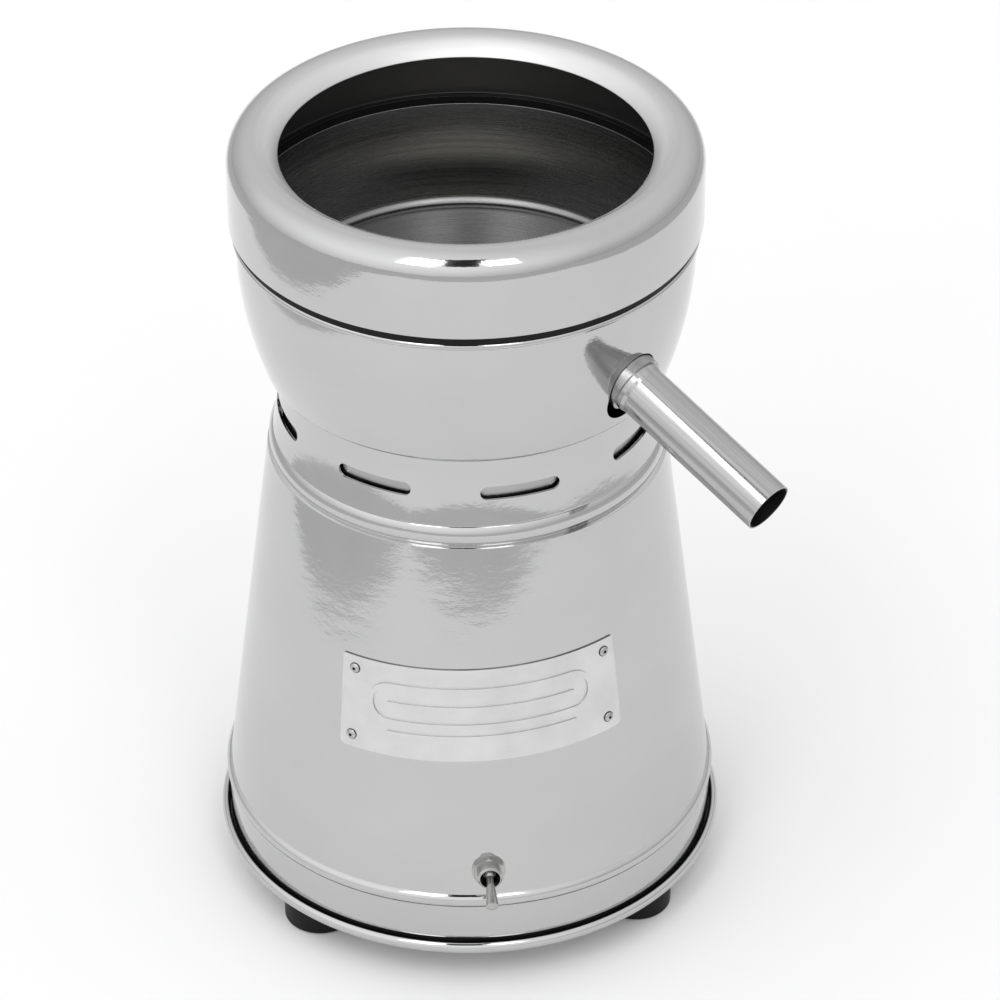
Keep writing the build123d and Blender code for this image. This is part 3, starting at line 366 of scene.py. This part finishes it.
# ---------------------------------------------------------------- materials
class Graph:
    """A short way to build a node material."""

    def __init__(self, name):
        self.material = bpy.data.materials.new(name)
        self.material.use_nodes = True
        self.tree = self.material.node_tree
        self.shader = self.tree.nodes["Principled BSDF"]
        self.place = self.add("ShaderNodeTexCoord").outputs["Object"]

    def add(self, kind, **settings):
        node = self.tree.nodes.new(kind)
        for key, value in settings.items():
            setattr(node, key, value)
        return node

    def link(self, source, target):
        self.tree.links.new(source, target)

    def math(self, operation, a, b=None):
        node = self.add("ShaderNodeMath", operation=operation)
        for socket, value in zip(node.inputs, (a, b)):
            if isinstance(value, (int, float)):
                socket.default_value = value
            elif value is not None:
                self.link(value, socket)
        return node.outputs[0]

    def mapped(self, scale, source=None):
        node = self.add("ShaderNodeMapping")
        self.link(source or self.place, node.inputs["Vector"])
        node.inputs["Scale"].default_value = scale
        return node.outputs["Vector"]

    def radius_and_height(self):
        split = self.add("ShaderNodeSeparateXYZ")
        self.link(self.place, split.inputs[0])
        x, y, z = split.outputs
        squares = self.math("ADD", self.math("MULTIPLY", x, x), self.math("MULTIPLY", y, y))
        return self.math("SQRT", squares), z

    def rise_over_cone(self):
        """The radial distance out from the housing's cone."""
        radius, z = self.radius_and_height()
        cone_at_floor = cone_radius(0.0) * MM
        cone = self.math("SUBTRACT", cone_at_floor, self.math("MULTIPLY", z, CONE_SLOPE))
        return self.math("SUBTRACT", radius, cone)

    def turned(self, around, up, outwards):
        """Coordinates that close round the drive axis: a circle, and height with radius."""
        radius, z = self.radius_and_height()
        split = self.add("ShaderNodeSeparateXYZ")
        self.link(self.place, split.inputs[0])
        join = self.add("ShaderNodeCombineXYZ")
        for k in (0, 1):
            unit = self.math("DIVIDE", split.outputs[k], self.math("MAXIMUM", radius, MM))
            self.link(self.math("MULTIPLY", unit, around), join.inputs[k])
        heights = self.math("MULTIPLY", z, up)
        radii = self.math("MULTIPLY", radius, outwards * 1.37)
        self.link(self.math("SUBTRACT", heights, radii), join.inputs[2])
        return join.outputs[0]

    def along(self, direction, across, lengthwise):
        """Coordinates stretched along a direction, for grain or streaks."""
        turn = self.add("ShaderNodeMapping")
        self.link(self.place, turn.inputs["Vector"])
        level = direction.to_track_quat("Z", "Y").inverted().to_euler()
        turn.inputs["Rotation"].default_value = level
        return self.mapped((across, across, lengthwise), turn.outputs["Vector"])

    def noise(self, vector, scale=1.0, detail=3.0, roughness=0.5):
        node = self.add("ShaderNodeTexNoise")
        self.link(vector, node.inputs["Vector"])
        node.inputs["Scale"].default_value = scale
        node.inputs["Detail"].default_value = detail
        node.inputs["Roughness"].default_value = roughness
        return node.outputs["Fac"]

    def range(self, source, low, high, from_low=0.3, from_high=0.7):
        node = self.add("ShaderNodeMapRange")
        self.link(source, node.inputs["Value"])
        node.inputs["From Min"].default_value = from_low
        node.inputs["From Max"].default_value = from_high
        node.inputs["To Min"].default_value = low
        node.inputs["To Max"].default_value = high
        return node.outputs["Result"]

    def colours(self, source, dark, light):
        node = self.add("ShaderNodeValToRGB")
        self.link(source, node.inputs["Fac"])
        node.color_ramp.elements[0].position = 0.3
        node.color_ramp.elements[1].position = 0.7
        node.color_ramp.elements[0].color = (*dark, 1)
        node.color_ramp.elements[1].color = (*light, 1)
        self.link(node.outputs["Color"], self.shader.inputs["Base Color"])

    def bump(self, *layers):
        """Stacks bump layers, each (height, distance in metres, strength)."""
        normal = None
        for height, distance, strength in layers:
            node = self.add("ShaderNodeBump")
            node.inputs["Distance"].default_value = distance
            node.inputs["Strength"].default_value = strength
            self.link(height, node.inputs["Height"])
            if normal is not None:
                self.link(normal, node.inputs["Normal"])
            normal = node.outputs["Normal"]
        self.link(normal, self.shader.inputs["Normal"])

    def blend_in(self, mask, name, value):
        """Where the mask is 1, a constant takes the place of what feeds a shader socket."""
        target = self.shader.inputs[name]
        colour = isinstance(value, tuple)
        mix = self.add("ShaderNodeMix", data_type="RGBA" if colour else "FLOAT")
        a, b, result = (6, 7, 2) if colour else (2, 3, 0)
        self.link(mask, mix.inputs[0])
        self.link(target.links[0].from_socket, mix.inputs[a])
        mix.inputs[b].default_value = value
        self.link(mix.outputs[result], target)

    def roughness(self, source, low, high):
        self.link(self.range(source, low, high), self.shader.inputs["Roughness"])


def metal(graph, anisotropic=0.0):
    graph.shader.inputs["Metallic"].default_value = 1.0
    if anisotropic:
        graph.shader.inputs["Anisotropic"].default_value = anisotropic
        tangent = graph.add("ShaderNodeTangent", direction_type="RADIAL", axis="Z")
        graph.link(tangent.outputs["Tangent"], graph.shader.inputs["Tangent"])


def roll_painted_light_and_shade(g):
    """Paints light on the inner half of the splash ring's roll and on its flank, as a lighter, duller satin.

    Returns the mask of painted shade: 1 on the inner side of the roll and flank, and 0 on the outside."""
    radius, z = g.radius_and_height()
    slope = math.radians(FLANK_SLOPE)
    across = g.math("SUBTRACT", radius, (RING_R - ROLL_R) * MM)
    above = g.math("MAXIMUM", g.math("SUBTRACT", z, ROLL_Z * MM), 0.0)
    squares = g.math("ADD", g.math("MULTIPLY", across, across), g.math("MULTIPLY", above, above))
    inwards = g.math("MULTIPLY", across, -math.cos(slope))
    down = g.math("ADD", inwards, g.math("MULTIPLY", above, -math.sin(slope)))
    painted_light = g.range(down, 0.0, 0.9, -7.5 * MM, -1.5 * MM)
    # painted light: the inner half of the roll and the flank get a lighter, duller grey
    g.blend_in(painted_light, "Base Color", (0.72, 0.72, 0.72, 1))
    g.blend_in(painted_light, "Roughness", 0.5)
    # painted shade: the mask marks the sheet's side that faces into the roll and under the flank
    down = g.math("MAXIMUM", down, 0.0)
    across_sheet = g.math("SQRT", g.math("SUBTRACT", squares, g.math("MULTIPLY", down, down)))
    return g.math("LESS_THAN", across_sheet, (ROLL_R - SHEET / 2) * MM)


def polished(name, tone=0.54, wave=1.0, rough=(0.05, 0.11), inside=None):
    """Buffed stainless sheet: slow waves from forming, fine turning lines, faint smears.

    It has painted shade, dull and dark, where the mask that inside() returns is 1."""
    g = Graph(name)
    metal(g)
    smear = g.noise(g.mapped((9, 9, 22)), 1.0, 5.0, 0.6)
    g.colours(smear, (tone * 0.95,) * 3, (tone, tone, tone * 1.01))
    g.roughness(smear, *rough)
    if inside is not None:
        mask = inside(g)
        # painted shade: dull, near black steel where the roll's mask is 1
        g.blend_in(mask, "Base Color", (0.1, 0.1, 0.1, 1))
        g.blend_in(mask, "Roughness", 0.4)
    slow = g.noise(g.turned(1.6, 14.0, 10.0), 1.0, 1.0)
    ripple = g.noise(g.turned(7.0, 110.0, 80.0), 1.0, 4.0, 0.6)
    lines = g.noise(g.turned(0.6, 2600.0, 2600.0), 1.0, 2.0)
    g.bump((slow, 0.0018 * wave, 0.5), (ripple, 0.00022 * wave, 0.5), (lines, 0.0000020, 0.6))
    return g.material


def spun(name, tone=0.42, rough=(0.2, 0.34)):
    """Spun sheet left from the tool: close rings that spread highlights into a cross."""
    g = Graph(name)
    metal(g, anisotropic=0.75)
    rings = g.noise(g.turned(0.5, 1700.0, 1700.0), 1.0, 3.0, 0.6)
    stain = g.noise(g.mapped((16, 16, 40)), 1.0, 5.0, 0.6)
    g.colours(stain, (tone * 0.86,) * 3, (tone * 1.05,) * 3)
    g.roughness(rings, *rough)
    g.bump((rings, 0.000012, 0.5), (g.noise(g.turned(3.0, 60.0, 60.0)), 0.0002, 0.5))
    return g.material


def drawn_tube(name, tone, rough):
    """Drawn tube: bright streaks along its axis, with painted shade, dull and dark, inside its bore."""
    g = Graph(name)
    metal(g)
    streaks = g.noise(g.along(SPOUT_DIR, 420.0, 7.0), 1.0, 3.0, 0.7)
    fine = g.noise(g.along(SPOUT_DIR, 2600.0, 30.0), 1.0, 2.0)
    g.colours(streaks, (tone * 0.78,) * 3, (tone * 1.12,) * 3)
    g.roughness(fine, *rough)
    offset = g.add("ShaderNodeVectorMath", operation="SUBTRACT")
    g.link(g.place, offset.inputs[0])
    offset.inputs[1].default_value = spout_point(SPOUT_MOUTH[0]) * MM
    across = g.add("ShaderNodeVectorMath", operation="CROSS_PRODUCT")
    g.link(offset.outputs["Vector"], across.inputs[0])
    across.inputs[1].default_value = SPOUT_DIR
    length = g.add("ShaderNodeVectorMath", operation="LENGTH")
    g.link(across.outputs["Vector"], length.inputs[0])
    inside = g.math("LESS_THAN", length.outputs["Value"], (SPOUT_BORE_R + SPOUT_R) / 2 * MM)
    # painted shade: the bore is painted near black and dull
    g.blend_in(inside, "Base Color", (0.03, 0.03, 0.03, 1))
    g.blend_in(inside, "Roughness", 0.55)
    g.bump((streaks, 0.00003, 0.4), (fine, 0.000003, 0.5))
    return g.material


def embossed_plate(name, tone, rough):
    """Satin aluminium sheet, with painted shade at its own edge and on the sides of its raised pattern."""
    g = Graph(name)
    metal(g)
    rise = g.rise_over_cone()
    grain = g.noise(g.turned(12.0, 2600.0, 0.0), 1.0, 3.0, 0.6)
    blotch = g.noise(g.place, 60.0, 4.0)
    g.colours(blotch, (tone * 0.92,) * 3, (tone * 1.02,) * 3)
    g.roughness(grain, *rough)
    over_foot = g.math("GREATER_THAN", rise, PATTERN_FOOT_RISE * MM)
    under_top = g.math("LESS_THAN", rise, PATTERN_TOP_RISE * MM)
    side = g.math("MULTIPLY", over_foot, under_top)
    # painted shade on the sides of the raised pattern
    g.blend_in(side, "Base Color", (tone * 0.62, tone * 0.62, tone * 0.62, 1))
    edge = g.math("LESS_THAN", rise, PLATE_EDGE_RISE * MM)
    # painted shade along the plate's own edge
    g.blend_in(edge, "Base Color", (tone * 0.3, tone * 0.3, tone * 0.3, 1))
    g.bump((grain, 0.000012, 0.5))
    return g.material


def drilled(name, colour, rough):
    """Bright domed rivets, with painted shade round the foot and down in the hollow middle."""
    g = Graph(name)
    metal(g)
    rise = g.rise_over_cone()
    wide = g.noise(g.place, 300.0, 3.0)
    g.colours(wide, tuple(c * 0.8 for c in colour), tuple(c * 1.05 for c in colour))
    g.roughness(wide, *rough)
    foot = g.math("LESS_THAN", rise, RIVET_FOOT_RISE * MM)
    # painted shade: near black round the foot and in the hollow middle
    g.blend_in(foot, "Base Color", (0.03, 0.03, 0.03, 1))
    g.bump((g.noise(g.place, 1500.0), 0.00001, 0.4))
    return g.material


def rough_metal(name, colour, rough=(0.3, 0.5), grain=900.0, depth=0.00004):
    """Plated, cast or machined metal with a fine even grain."""
    g = Graph(name)
    metal(g)
    fine = g.noise(g.place, grain, 3.0)
    wide = g.noise(g.place, 60.0, 4.0)
    g.colours(wide, tuple(c * 0.85 for c in colour), tuple(min(1, c * 1.08) for c in colour))
    g.roughness(wide, *rough)
    g.bump((fine, depth, 0.5))
    return g.material


def moulded(name, colour, rough=(0.45, 0.65), grain=1400.0, depth=0.00003, sheen=0.5):
    """Moulded rubber or plastic: fine texture, slightly uneven colour and sheen."""
    g = Graph(name)
    g.shader.inputs["Specular IOR Level"].default_value = sheen
    fine = g.noise(g.place, grain, 2.0)
    wide = g.noise(g.place, 70.0, 5.0, 0.6)
    g.colours(wide, tuple(c * 0.8 for c in colour), tuple(min(1, c * 1.15) for c in colour))
    g.roughness(wide, *rough)
    g.bump((fine, depth, 0.4), (wide, 0.0001, 0.3))
    return g.material


MATERIALS = {
    "polished_steel": polished("polished_steel"),
    "polished_ring": polished("polished_ring", inside=roll_painted_light_and_shade),
    "polished_base": polished("polished_base", wave=0.5),
    "spun_steel": spun("spun_steel", tone=0.3),
    "satin_tube": drawn_tube("satin_tube", 0.46, (0.1, 0.2)),
    "weld_steel": rough_metal("weld_steel", (0.4, 0.4, 0.4), (0.2, 0.35)),
    "satin_plate": embossed_plate("satin_plate", 0.7, (0.34, 0.5)),
    "rivet_alloy": drilled("rivet_alloy", (0.5, 0.5, 0.51), (0.2, 0.35)),
    "nickel": rough_metal("nickel", (0.45, 0.45, 0.44), (0.08, 0.16), 1500.0, 0.00001),
    "machined_steel": rough_metal("machined_steel", (0.5, 0.5, 0.51), (0.2, 0.35)),
    "bearing_steel": rough_metal("bearing_steel", (0.55, 0.55, 0.56), (0.08, 0.16), 1500.0, 0.000008),
    "lamination_steel": rough_metal("lamination_steel", (0.25, 0.25, 0.26), (0.4, 0.6)),
    "zinc_steel": rough_metal("zinc_steel", (0.52, 0.53, 0.55), (0.25, 0.42)),
    "cast_aluminium": rough_metal("cast_aluminium", (0.5, 0.5, 0.51), (0.4, 0.6), 500.0, 0.00012),
    "baffle_aluminium": rough_metal("baffle_aluminium", (0.4, 0.4, 0.4), (0.2, 0.3), 300.0, 0.00002),
    "enamelled_copper": rough_metal("enamelled_copper", (0.42, 0.14, 0.05), (0.25, 0.4)),
    "brass": rough_metal("brass", (0.6, 0.42, 0.16), (0.2, 0.35)),
    "rubber": moulded("rubber", (0.004, 0.004, 0.0045), (0.42, 0.6), sheen=0.2),
    "reamer_plastic": moulded("reamer_plastic", (0.72, 0.7, 0.62), (0.3, 0.45)),
    "phenolic": moulded("phenolic", (0.03, 0.02, 0.015)),
    "block_plastic": moulded("block_plastic", (0.6, 0.58, 0.5)),
    "fan_plastic": moulded("fan_plastic", (0.02, 0.02, 0.022)),
    "painted_shell": moulded("painted_shell", (0.02, 0.022, 0.026), (0.3, 0.42)),
}


def dress(piece, slot):
    piece.data.materials.clear()
    piece.data.materials.append(MATERIALS[slot])


slot_of = {s["node"]: s["material_slot"] for s in frame["record"]["subparts"]}
body_of = {n: b for b, members in frame["record"]["behaviour"]["bodies"].items() for n in members}
for node, shown in frame["nodes"].items():
    dress(shown, slot_of[node])
    for polygon in shown.data.polygons:
        polygon.use_smooth = True
    shown.data.set_sharp_from_angle(angle=math.radians(32))


def stands_for(piece, node, look=None):
    """Puts a finished piece in the place of its CAD node."""
    dress(piece, look or slot_of[node])
    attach(piece, body_of[node])
    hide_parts(node)
    return piece


# ---------------------------------------------------------------- the turned shells
def base_pan():
    rim_in = PAN_R - 3.9
    points = soften(outline(
        (0, PAN_FLOOR),
        (PAN_R - 1.8, PAN_FLOOR),
        ((PAN_R, PAN_FLOOR + 3.0), (PAN_R - 1.9, PAN_RIM_TOP)),
        ((rim_in + 0.6, PAN_RIM_TOP - 0.5), (rim_in, PAN_RIM_TOP - 1.9)),
        (rim_in, PAN_FLOOR + 1.5),
        (0, PAN_FLOOR + 1.5),
    ))
    pan = spin("base_pan_shell", points)
    slots = []
    for k in range(PAN_SLOT_COUNT):
        az = 360.0 * k / PAN_SLOT_COUNT
        place = frame_at(polar(PAN_SLOT_CIRCLE, az), polar(1, az), (0, 0, 1))
        shape = obround(PAN_SLOT_LENGTH, PAN_SLOT_W)
        slots.append(prism("slot_cutter", shape, PAN_FLOOR - 8, PAN_FLOOR + 8, place))
    cut(pan, slots)
    return stands_for(smooth_turned(pan, points), "base_pan")


def cone_housing():
    inner_top = NECK_BOTTOM - SHEET
    bend_z = CONE_TOP[1] - 1.5
    points = soften(outline(
        (BAND_R - SHEET, BAND_BOTTOM),
        (BAND_R, BAND_BOTTOM - BAND_LAP),
        (BAND_R - 0.3, BEAD_BOTTOM),
        ((BEAD_R, (BEAD_BOTTOM + CONE_BOTTOM[1]) / 2), CONE_BOTTOM),
        CONE_TOP,
        (SHOULDER_R - 1.3, CONE_TOP[1] + 0.7),
        ((SHOULDER_R, 248.0), (NECK_R, NECK_BOTTOM)),
        (FLANGE_IN_R, NECK_BOTTOM),
        (FLANGE_IN_R, inner_top),
        (SHOULDER_R - 2.7, inner_top),
        (SHOULDER_R - 2.7, CONE_TOP[1] + 0.7),
        (cone_radius(bend_z) - SHEET, bend_z),
        (CONE_BOTTOM[0] - SHEET, CONE_BOTTOM[1]),
        (BAND_R - SHEET - 0.3, BEAD_BOTTOM),
    ))
    return stands_for(smooth_turned(spin("cone_housing_shell", points), points), "cone_housing")


def neck_collar():
    foot_top = NECK_BOTTOM + SHEET
    deck_low = DECK_TOP - SHEET
    points = soften(outline(
        (FLANGE_IN_R, NECK_BOTTOM),
        (NECK_R, NECK_BOTTOM),
        (NECK_WAIST, (NECK_TOP_R, DECK_TOP)),
        (DECK_HOLE_R, DECK_TOP),
        (DECK_HOLE_R, deck_low),
        (NECK_TOP_R - SHEET, deck_low),
        ((NECK_WAIST[0] - SHEET, NECK_WAIST[1]), (NECK_R - SHEET, foot_top)),
        (FLANGE_IN_R, foot_top),
    ))
    collar = spin("neck_collar_shell", points)
    vents = []
    for k in range(VENT_COUNT):
        az = VENT_AZ + 360.0 * k / VENT_COUNT
        a = math.radians(az)
        place = frame_at(polar(NECK_WAIST[0], az, VENT_Z), (math.cos(a), math.sin(a), 0), polar(1, az))
        vents.append(prism("vent_cutter", obround(VENT_LENGTH, VENT_H), -8, 8, place))
    cut(collar, vents)
    return stands_for(smooth_turned(collar, points), "neck_collar")


def outer_bowl():
    floor_top = DECK_TOP + SHEET
    points = soften(outline(
        (DECK_HOLE_R, DECK_TOP),
        (92.5, DECK_TOP),
        ((96.9, 291.7), BOWL_CORNER),
        (BOWL_MID, BOWL_TOP),
        ((BOWL_BEAD_R, 363.7), (BOWL_BEAD_R - 1.4, BOWL_RIM_Z)),
        (BOWL_TOP[0] - 1.6, BOWL_RIM_Z),
        (BOWL_TOP[0] - SHEET, BOWL_TOP[1]),
        ((BOWL_MID[0] - SHEET, BOWL_MID[1]), (BOWL_CORNER[0] - SHEET, BOWL_CORNER[1] + 0.7)),
        ((96.0, 292.9), (92.5, floor_top)),
        (DECK_HOLE_R, floor_top),
    ))
    bowl = spin("outer_bowl_shell", points)
    hole = [(-y, x - SPOUT_HOLE_DROP) for x, y in obround(SPOUT_HOLE_L, SPOUT_HOLE_W)]
    cut(bowl, [prism("hole_cutter", hole, 0, 30, spout_frame(100.0))])
    return stands_for(smooth_turned(bowl, points), "outer_bowl")


def juice_bowl():
    under = JUICE_FLOOR_Z - SHEET
    lip_under = JUICE_RIM[1] - SHEET
    points = soften(outline(
        (CHIMNEY_R + SHEET, under),
        (CHIMNEY_R + SHEET, JUICE_FLOOR_Z),
        (92.0, JUICE_FLOOR_Z),
        ((96.5, 317.5), JUICE_CORNER),
        JUICE_RIM,
        (JUICE_LIP_R, JUICE_RIM[1]),
        (JUICE_LIP_R, lip_under),
        (JUICE_RIM[0] + 1.0, lip_under),
        (JUICE_CORNER[0] + SHEET, JUICE_CORNER[1] - 0.2),
        ((97.4, 316.5), (92.0, under)),
    ))
    bowl = spin("juice_bowl_shell", points)
    length = (spout_point(SPOUT_AT_BOWL[0]) - spout_point(SPOUT_INNER_END)).length
    cut(bowl, [prism("drain_cutter", circle(SPOUT_R + SPOUT_FLARE), 0, length, spout_frame(SPOUT_INNER_END))])
    return stands_for(smooth_turned(bowl, points), "juice_bowl")


def bulged(a, b, height):
    """The middle of a to b, raised to the side that faces up and in."""
    along = (Vector(b) - Vector(a)).normalized()
    return tuple((Vector(a) + Vector(b)) / 2 + Vector((along.y, -along.x)) * height)


def splash_ring():
    centre_r = RING_R - ROLL_R
    roll_in = ROLL_R - SHEET
    inwards, upwards = math.sin(math.radians(FLANK_SLOPE)), math.cos(math.radians(FLANK_SLOPE))
    flank_start = (centre_r - ROLL_R * inwards, ROLL_Z + ROLL_R * upwards)
    reach = (flank_start[0] - LIP_R) / upwards
    lip_out = (LIP_R, flank_start[1] - reach * inwards)
    lip_in = (LIP_R + SHEET * inwards, lip_out[1] - SHEET * upwards)
    turned_over = math.radians(FLANK_SLOPE - BULGE_TURN)
    bulge_out = (centre_r - ROLL_R * math.sin(turned_over), ROLL_Z + ROLL_R * math.cos(turned_over))
    bulge_in = (centre_r - roll_in * math.sin(turned_over), ROLL_Z + roll_in * math.cos(turned_over))
    middle_out = bulged(bulge_out, lip_out, BULGE)
    middle_in = bulged(bulge_in, lip_in, BULGE)
    points = soften(outline(
        (108.2, RING_BOTTOM),
        (RING_R, RING_BOTTOM),
        (RING_R, ROLL_Z),
        ((centre_r, ROLL_Z + ROLL_R), bulge_out),
        (middle_out, lip_out),
        lip_in,
        (middle_in, bulge_in),
        ((centre_r, ROLL_Z + roll_in), (RING_R - SHEET, ROLL_Z)),
        (RING_R - SHEET, RING_BOTTOM + SHEET),
        (108.2, RING_BOTTOM + SHEET),
    ))
    ring = smooth_turned(spin("splash_ring_shell", points), points)
    return stands_for(ring, "splash_ring", "polished_ring")


base_pan()
cone_housing()
neck_collar()
outer_bowl()
juice_bowl()
splash_ring()


# ---------------------------------------------------------------- stage, light and camera
def flat_stage(name, corners, tones, roughness=0.7):
    """A flat stage piece over four corners, in metres, with a slightly uneven tone."""
    bm = bmesh.new()
    bm.faces.new([bm.verts.new(c) for c in corners])
    shown = mesh_object(name, bm)
    g = Graph(name)
    g.colours(g.noise(g.place, 3.0, 3.0), *[(t,) * 3 for t in tones])
    g.shader.inputs["Roughness"].default_value = roughness
    shown.data.materials.append(g.material)


def stage():
    """White paper on a pale grey floor."""
    left, right = -0.62, 0.8
    front, back = -0.9, 3.5
    flat_stage(
        "studio_paper",
        [(left, front, 0), (right, front, 0), (right, back, 0), (left, back, 0)],
        (0.9, 0.92),
    )
    size = 9.0
    low = -0.004
    flat_stage(
        "studio_floor",
        [(-size, -size, low), (size, -size, low), (size, size, low), (-size, size, low)],
        (0.56, 0.6),
    )


def towards(azimuth, elevation, distance=1.0):
    """A point seen from the bowl in a direction."""
    e = math.radians(elevation)
    flat = polar(math.cos(e), azimuth)
    return Vector((flat.x, flat.y, math.sin(e))) * distance


def world():
    """A pale studio room: brighter overhead and in front on the left than behind."""
    room = bpy.data.worlds.new("studio")
    room.use_nodes = True
    tree = room.node_tree
    background = tree.nodes["Background"]
    direction = tree.nodes.new("ShaderNodeTexCoord").outputs["Generated"]
    split = tree.nodes.new("ShaderNodeSeparateXYZ")
    ramp = tree.nodes.new("ShaderNodeValToRGB")
    tree.links.new(direction, split.inputs[0])
    tree.links.new(split.outputs["Z"], ramp.inputs["Fac"])
    steps = ((0.0, 0.6), (0.34, 0.8), (0.5, 0.9), (0.65, 0.95), (1.0, 0.92))
    while len(ramp.color_ramp.elements) < len(steps):
        ramp.color_ramp.elements.new(0.5)
    for element, (position, tone) in zip(ramp.color_ramp.elements, steps):
        element.position = position
        element.color = (tone, tone, tone, 1)
    facing = tree.nodes.new("ShaderNodeVectorMath")
    facing.operation = "DOT_PRODUCT"
    facing.inputs[1].default_value = towards(-40, 25)
    tree.links.new(direction, facing.inputs[0])
    glow = tree.nodes.new("ShaderNodeMapRange")
    glow.inputs["To Max"].default_value = 0.45
    tree.links.new(facing.outputs["Value"], glow.inputs["Value"])
    both = tree.nodes.new("ShaderNodeMath")
    both.operation = "ADD"
    tree.links.new(ramp.outputs["Color"], both.inputs[0])
    tree.links.new(glow.outputs["Result"], both.inputs[1])
    tree.links.new(both.outputs[0], background.inputs["Strength"])
    background.inputs["Color"].default_value = (1, 1, 1, 1)
    bpy.context.scene.world = room


BOWL_CENTRE = Vector((0, 0, 0.41))


def softbox(name, azimuth, elevation, distance, size, brightness):
    """A rectangular light that faces the bowl; brightness is its radiance."""
    lamp = bpy.data.lights.new(name, "AREA")
    lamp.shape = "RECTANGLE"
    lamp.size, lamp.size_y = size
    lamp.energy = brightness * math.pi * size[0] * size[1]
    shown = bpy.data.objects.new(name, lamp)
    away = towards(azimuth, elevation)
    shown.location = BOWL_CENTRE + away * distance
    shown.rotation_euler = away.to_track_quat("Z", "Y").to_euler()
    bpy.context.scene.collection.objects.link(shown)


def flag(name, azimuth, elevation, distance, size):
    """A dark card that faces the bowl, between the lights."""
    away = towards(azimuth, elevation)
    across = Vector((0, 0, 1)).cross(away).normalized()
    up = away.cross(across)
    middle = BOWL_CENTRE + away * distance
    corners = [
        middle + across * (sx * size[0] / 2) + up * (sy * size[1] / 2)
        for sx, sy in ((-1, -1), (1, -1), (1, 1), (-1, 1))
    ]
    flat_stage(name, corners, (0.01, 0.015), 0.9)


CAMERA_DISTANCE = 1.905
CAMERA_HEIGHT = 1.515
CAMERA_AZIMUTH = -3.3
CAMERA_PITCH = 34.55
CAMERA_YAW = 0.475
CAMERA_ROLL = -0.096
CAMERA_LENS = 168.65
SENSOR = 36.0


def camera():
    """The viewing angle: high in front, a little to the left, with a long lens."""
    data = bpy.data.cameras.new("camera")
    data.lens = CAMERA_LENS
    data.sensor_width = SENSOR
    data.clip_end = 50.0
    shown = bpy.data.objects.new("camera", data)
    bpy.context.scene.collection.objects.link(shown)
    pitch, yaw, roll = (math.radians(v) for v in (CAMERA_PITCH, CAMERA_YAW, CAMERA_ROLL))
    forward = Vector((math.sin(yaw) * math.cos(pitch), math.cos(yaw) * math.cos(pitch), -math.sin(pitch)))
    right = Vector((math.cos(yaw), -math.sin(yaw), 0))
    up = right.cross(forward)
    right, up = (
        right * math.cos(roll) + up * math.sin(roll),
        up * math.cos(roll) - right * math.sin(roll),
    )
    turn = Matrix.Rotation(math.radians(CAMERA_AZIMUTH), 4, "Z")
    pose = Matrix((right, up, -forward)).transposed().to_4x4()
    pose.translation = Vector((0, -CAMERA_DISTANCE, CAMERA_HEIGHT))
    shown.matrix_world = turn @ pose
    bpy.context.scene.camera = shown


stage()
world()
softbox("softbox_left", -30.0, 52.0, 2.2, (0.56, 1.26), 2.6)
softbox("softbox_right", 16.0, 53.0, 2.2, (0.5, 1.0), 2.5)
flag("dark_flag", -6.5, 56.0, 1.7, (0.4, 0.95))
camera()
bpy.context.scene.view_settings.view_transform = "Standard"
